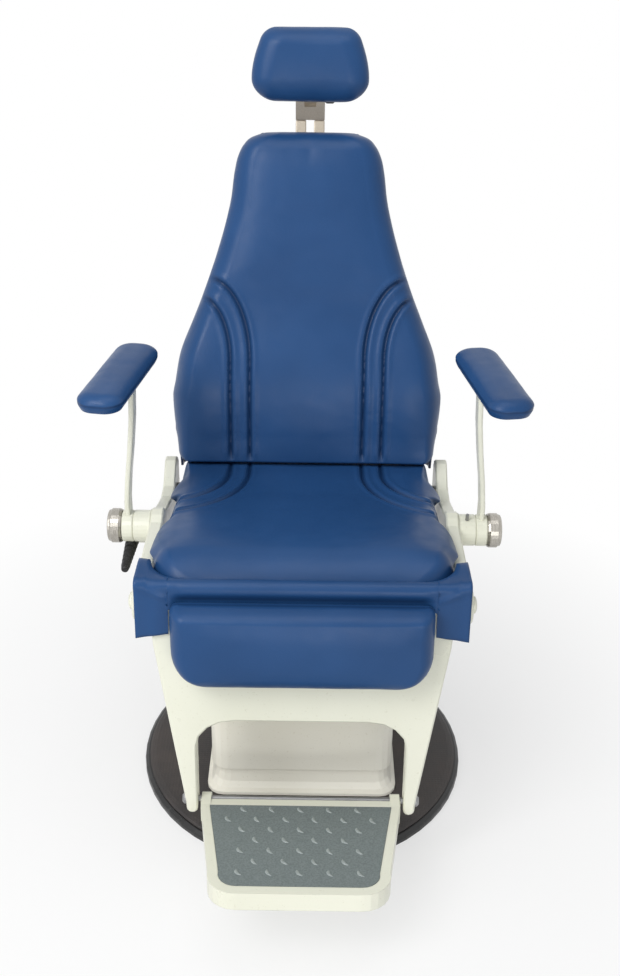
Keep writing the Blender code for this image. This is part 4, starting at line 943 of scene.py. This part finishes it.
def calf_cushion():
    """Calf pad on the leg frame."""
    length = CALF_TOP - CALF_BOTTOM
    low_corner = 0.060
    hem_room, ear_room, ear_from, ear_over = 0.0037, 0.0045, 0.024, 0.014

    def half(run):
        return CALF_HALF - corner(run, 0.012) - corner(length - run, low_corner)

    def place(x, run, height):
        """The back is hollowed at its top, where the hem of the apron is tucked in behind it."""
        hollow = hem_room + ear_room * unit((abs(x) - CALF_HALF + ear_from) / ear_over)
        tucked = CALF_TOP - run > HEM_W - PIVOT_W - 0.0012
        return x, LEG_FRONT - GAP - (max(height, hollow) if tucked else height), CALF_TOP - run

    cushion = Cushion(length, half, CALF_DEPTH, side=0.024, start=0.016, end=0.026, crown=0.003, rim=0.30,
                      inset=0.004, corners=(0.016, low_corner))
    upholster("calf_upholstery", "calf_pad", "legrest", cushion, place, LEG,
              step=0.0075, lower=0.003, cap=0.005)


def head_cushion():
    """Headrest pad, narrower at its top and curved a little round the head."""
    plate_face, low_end = -0.0123, -0.004

    def half(run):
        wide = smooth((0, 0.32, 0.55, 1.0), (0.93, 1.0, 0.965, 0.78), run / HEAD_HEIGHT) * HEAD_HALF
        return wide - corner(run, 0.036) - corner(HEAD_HEIGHT - run, 0.020)

    def place(x, run, height):
        wrap = 0.10 * x * x / HEAD_HALF * min(1.0, max(0.0, height) / (0.4 * HEAD_DEPTH))
        return x, plate_face - height - wrap, low_end + run

    cushion = Cushion(HEAD_HEIGHT, half, HEAD_DEPTH, side=0.040, start=0.044, end=0.028, crown=0.004,
                      rim=0.40, inset=0.006, corners=(0.044, 0.028))
    upholster("headrest_upholstery", "headrest_pad", "headrest", cushion, place, HEAD,
              step=0.0065, lower=0.0025, cap=0.0045)


def arm_cushions():
    """Arm pads, splayed outwards to the front."""
    plate, round_end = 0.005, 0.030
    under = ARM_PAD_TOP - ARM_PAD_HEIGHT - plate
    width, long = ARM_PAD_WIDTH / 2, ARM_PAD_LENGTH

    def half(run):
        return width - corner(run, round_end) - corner(long - run, round_end)

    def place(x, run, height):
        return x, run - long / 2, under + plate + GAP + height

    cushion = Cushion(long, half, ARM_PAD_HEIGHT - 0.001, side=0.026, start=0.022, end=0.022, crown=0.001,
                      rim=0.42, inset=0.005, corners=(round_end, round_end))
    for side, sign in (("left", -1), ("right", 1)):
        splay = Matrix.Rotation(sign * ARM_SPLAY, 4, "Z")
        matrix = Matrix.Translation((sign * ARM_PAD_X, ARM_PAD_Y, 0)) @ splay
        upholster("arm_upholstery_" + side, "arm_pad_" + side, "arm_" + side, cushion, place, matrix,
                  step=0.0065, lower=0.0015, cap=0.003)


def apron():
    """Vinyl flap over the hinge between seat and legrest, with a loose ear on each side."""
    half = HALF_OUT - 0.005
    ear = CALF_HALF + 0.0045
    frame_face = LEG_PIVOT_U + LEG_FRONT
    bend = SEAT_CORNER + APRON_CLEAR
    beside_ear, ear_slit = 0.022, 0.002
    columns, points = 131, 34
    xs = {round(x, 4) for x in np.linspace(-half, half, columns)}
    xs |= {-ear, ear, -ear + ear_slit, ear - ear_slit}
    bm = bmesh.new()
    rows, shade = [], []
    for x in sorted(xs):
        out = min(max(abs(x) - SEAT_HALF_FRONT + SEAT_CORNER, 0.0), bend)
        rear = SEAT_CUSHION_FRONT - APRON_CLEAR + bend - math.sqrt(bend**2 - out**2)
        on_ear = abs(x) >= ear - 0.0005
        along = max(0.0, (abs(x) - ear) / (half - ear))
        drop = -0.066 - 0.008 * along if on_ear else HEM_W
        ease = unit((abs(x) - ear + beside_ear) / beside_ear)
        front = frame_face - 0.0015 - 0.0025 * ease * ease * (3 - 2 * ease)
        roll, peak = 1 - ease, 0.005 * along**2
        knots = np.array([
            (rear, 0.004),
            (rear - 0.002, 0.012),
            (rear - 0.006, 0.0185 + peak),
            (front + 0.011, 0.0220 + peak),
            (front + 0.004 - 0.002 * roll, 0.0205 + peak),
            (front - 0.0036 * roll, 0.0140),
            (front - 0.0048 * roll, 0.0060),
            (front - 0.0006 * roll, -0.0030),
            (front, 0.5 * (drop - 0.006)),
            (front, drop),
        ])
        run = lengths(knots)
        line = []
        for s in np.linspace(0, 1, points):
            u = smooth(run, knots[:, 0], s * run[-1])
            w = smooth(run, knots[:, 1], s * run[-1])
            loose = unit((s - 0.25) / 0.3)
            ripple = 0.0006 * noise.noise((x * 34, s * 1.5, 0.7)) * (1 - loose)
            if on_ear:
                wave = math.sin(x * 190 + 1.1 * math.copysign(1, x) + s * 2)
                fold = bell(w + 0.006 - 0.026 * along, 0.0045) * min(1.0, 5 * along)
                ripple -= 0.0016 * loose * (0.5 + 0.5 * wave)
                ripple -= 0.0040 * fold
            line.append(bm.verts.new((x, u + ripple * 0.7, w + ripple * 0.5 * (1 - loose))))
            # Painted shade in the crease under the roll.
            shade.append(0.9 * bell(w + 0.0045, 0.0032) * roll)
        rows.append(line)
    for a, b in zip(rows, rows[1:]):
        for i in range(len(a) - 1):
            bm.faces.new((a[i], b[i], b[i + 1], a[i + 1]))
    mesh = finished(bm, "apron_sheet", SEAT)
    set_painted_shade(mesh, shade)
    obj = piece("apron_sheet", mesh, None, "blue_vinyl")
    solid = obj.modifiers.new("Solidify", "SOLIDIFY")
    solid.thickness = APRON_THICKNESS
    solid.offset = 0
    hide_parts("front_apron")
    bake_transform(obj)


def stud(bm, x, y, top, turn):
    """One comma-shaped tread, domed and lying at an angle on the mat."""
    long, wide, tall, curl = 0.0088, 0.0030, 0.0017, 0.0032
    sunk = 0.0002
    along, across = 8, 6
    grid = []
    for i in range(along + 1):
        a = -1 + 2 * i / along
        girth = math.sqrt(max(0.0, 1 - a * a)) * (1.0 - 0.35 * a)
        line = []
        for j in range(across + 1):
            b = -1 + 2 * j / across
            px = a * long
            py = b * wide * girth + curl * (a * a - 0.4)
            pz = tall * max(0.0, (1 - a * a) * (1 - b * b)) ** 0.5
            cx = px * math.cos(turn) - py * math.sin(turn)
            cy = px * math.sin(turn) + py * math.cos(turn)
            line.append(bm.verts.new((x + cx, y + cy, top - sunk + pz)))
        grid.append(line)
    for a, b in zip(grid, grid[1:]):
        for j in range(across):
            bm.faces.new((a[j], b[j], b[j + 1], a[j + 1]))


def foot_studs():
    """Raised treads in staggered rows on the footrest mat."""
    bm = bmesh.new()
    top = FOOT_TOP + 0.001
    behind = -0.010
    front, back = behind - FOOT_LENGTH + FOOT_BORDER, behind - FOOT_BORDER
    half_rear, taper, side_margin, stud_room = 0.167, 0.030, 0.013, 0.008
    pitch, stagger, row_pitch, margin = 0.047, 0.0235, 0.0255, 0.012
    turns = (math.radians(-54), math.radians(-62))
    row = 0
    y = back - margin
    while y > front + margin:
        share = (back - y) / (back - front)
        half = half_rear - taper * share - FOOT_BORDER - side_margin
        start = stagger if row % 2 else 0.0
        count = int((half + stagger) // pitch) + 1
        for k in range(-count, count + 1):
            x = k * pitch + start
            if abs(x) <= half - stud_room:
                stud(bm, x, y, top, turns[(k + row) % 2])
        y -= row_pitch
        row += 1
    bmesh.ops.remove_doubles(bm, verts=bm.verts[:], dist=0.00002)
    mesh = finished(bm, "foot_mat_studs", FOOT)
    studs = piece("foot_mat_studs", mesh, "footrest", "foot_rubber")
    # The treads take the lighter copy of the mat rubber, a painted highlight.
    studs.data.materials[0] = LOOKS["foot_stud_highlight"]


def seen(tree):
    """1 for a ray from the camera or a reflection, which meets white surroundings, and 0 for any other."""
    path = tree.nodes.new("ShaderNodeLightPath")
    either = tree.nodes.new("ShaderNodeMath")
    either.operation = "MAXIMUM"
    tree.links.new(path.outputs["Is Camera Ray"], either.inputs[0])
    tree.links.new(path.outputs["Is Glossy Ray"], either.inputs[1])
    return either.outputs[0]


def floor():
    """White floor that takes a soft shadow near the chair and fades into the background."""
    reach, near, far = 40, 0.35, 1.1
    mesh = bpy.data.meshes.new("floor")
    square = [(-reach, -reach, 0), (reach, -reach, 0), (reach, reach, 0), (-reach, reach, 0)]
    mesh.from_pydata(square, [], [(0, 1, 2, 3)])
    obj = bpy.data.objects.new("floor", mesh)
    obj.location = (0, 0, CAD_BOX[0].z)
    bpy.context.scene.collection.objects.link(obj)
    look = Look("floor", rough=0.8)
    look.constants(Base_Color=(0.86, 0.86, 0.86, 1), Specular_IOR_Level=0.1)
    glow = look.node("ShaderNodeEmission", Color=(1, 1, 1, 1), Strength=1.0)
    distance = look.node("ShaderNodeVectorMath", operation="LENGTH")
    look.link(look.place, distance.inputs[0])
    share = look.node("ShaderNodeMath", operation="MULTIPLY")
    look.link(seen(look.tree), share.inputs[0])
    look.link(look.span(distance.outputs["Value"], 0.62, 1.0, low_at=near, high_at=far), share.inputs[1])
    mix = look.node("ShaderNodeMixShader")
    look.link(share.outputs[0], mix.inputs[0])
    look.link(look.shader.outputs[0], mix.inputs[1])
    look.link(glow.outputs[0], mix.inputs[2])
    look.link(mix.outputs[0], look.tree.nodes["Material Output"].inputs["Surface"])
    mesh.materials.append(look.material)


def surroundings():
    """Dim sky light on the chair in front of a plain white background."""
    world = bpy.data.worlds.new("studio")
    bpy.context.scene.world = world
    world.use_nodes = True
    tree = world.node_tree
    tree.nodes.clear()
    mix = tree.nodes.new("ShaderNodeMixShader")
    tree.links.new(seen(tree), mix.inputs[0])
    for socket, colour, strength in ((1, (0.96, 0.98, 1.0, 1), 0.38), (2, (1, 1, 1, 1), 1.0)):
        light = tree.nodes.new("ShaderNodeBackground")
        light.inputs["Color"].default_value = colour
        light.inputs["Strength"].default_value = strength
        tree.links.new(light.outputs[0], mix.inputs[socket])
    out = tree.nodes.new("ShaderNodeOutputWorld")
    tree.links.new(mix.outputs[0], out.inputs[0])


def lamp(name, place, target, size, power):
    light = bpy.data.lights.new(name, "AREA")
    light.shape = "RECTANGLE"
    light.size, light.size_y = size
    light.energy = power
    obj = bpy.data.objects.new(name, light)
    bpy.context.scene.collection.objects.link(obj)
    obj.location = place
    obj.rotation_euler = (Vector(target) - Vector(place)).to_track_quat("-Z", "Y").to_euler()


def studio():
    bpy.context.scene.view_settings.view_transform = "Standard"
    floor()
    surroundings()
    lamp("key", (-1.3, -1.7, 2.9), (0, 0, 0.7), size=(1.6, 1.4), power=42)
    lamp("side", (-1.5, -1.7, 1.75), (0, 0, 0.8), size=(0.9, 1.8), power=17)
    lamp("fill", (0.6, -2.9, 0.55), (0, 0, 0.25), size=(1.8, 0.8), power=17)
    lamp("top", (0.1, -0.35, 3.2), (0, 0, 0.8), size=(1.8, 1.4), power=16)


def camera():
    """Camera fitted to the photograph."""
    place = (0.0122, -1.8095, 1.5626)
    sway, tilt, turn = math.radians(0.209), math.radians(61.44), math.radians(0.95)
    lens = bpy.data.cameras.new("camera")
    lens.lens = 44.55
    lens.sensor_width = 36
    lens.clip_start = 0.05
    obj = bpy.data.objects.new("camera", lens)
    bpy.context.scene.collection.objects.link(obj)
    aim = Matrix.Rotation(sway, 4, "Y") @ Matrix.Rotation(tilt, 4, "X")
    roll = Matrix.Rotation(turn, 4, "Z")
    obj.matrix_world = Matrix.Translation(place) @ aim @ roll
    bpy.context.scene.camera = obj


finish_slots()
back_cushion()
seat_cushion()
calf_cushion()
head_cushion()
arm_cushions()
apron()
foot_studs()
studio()
camera()
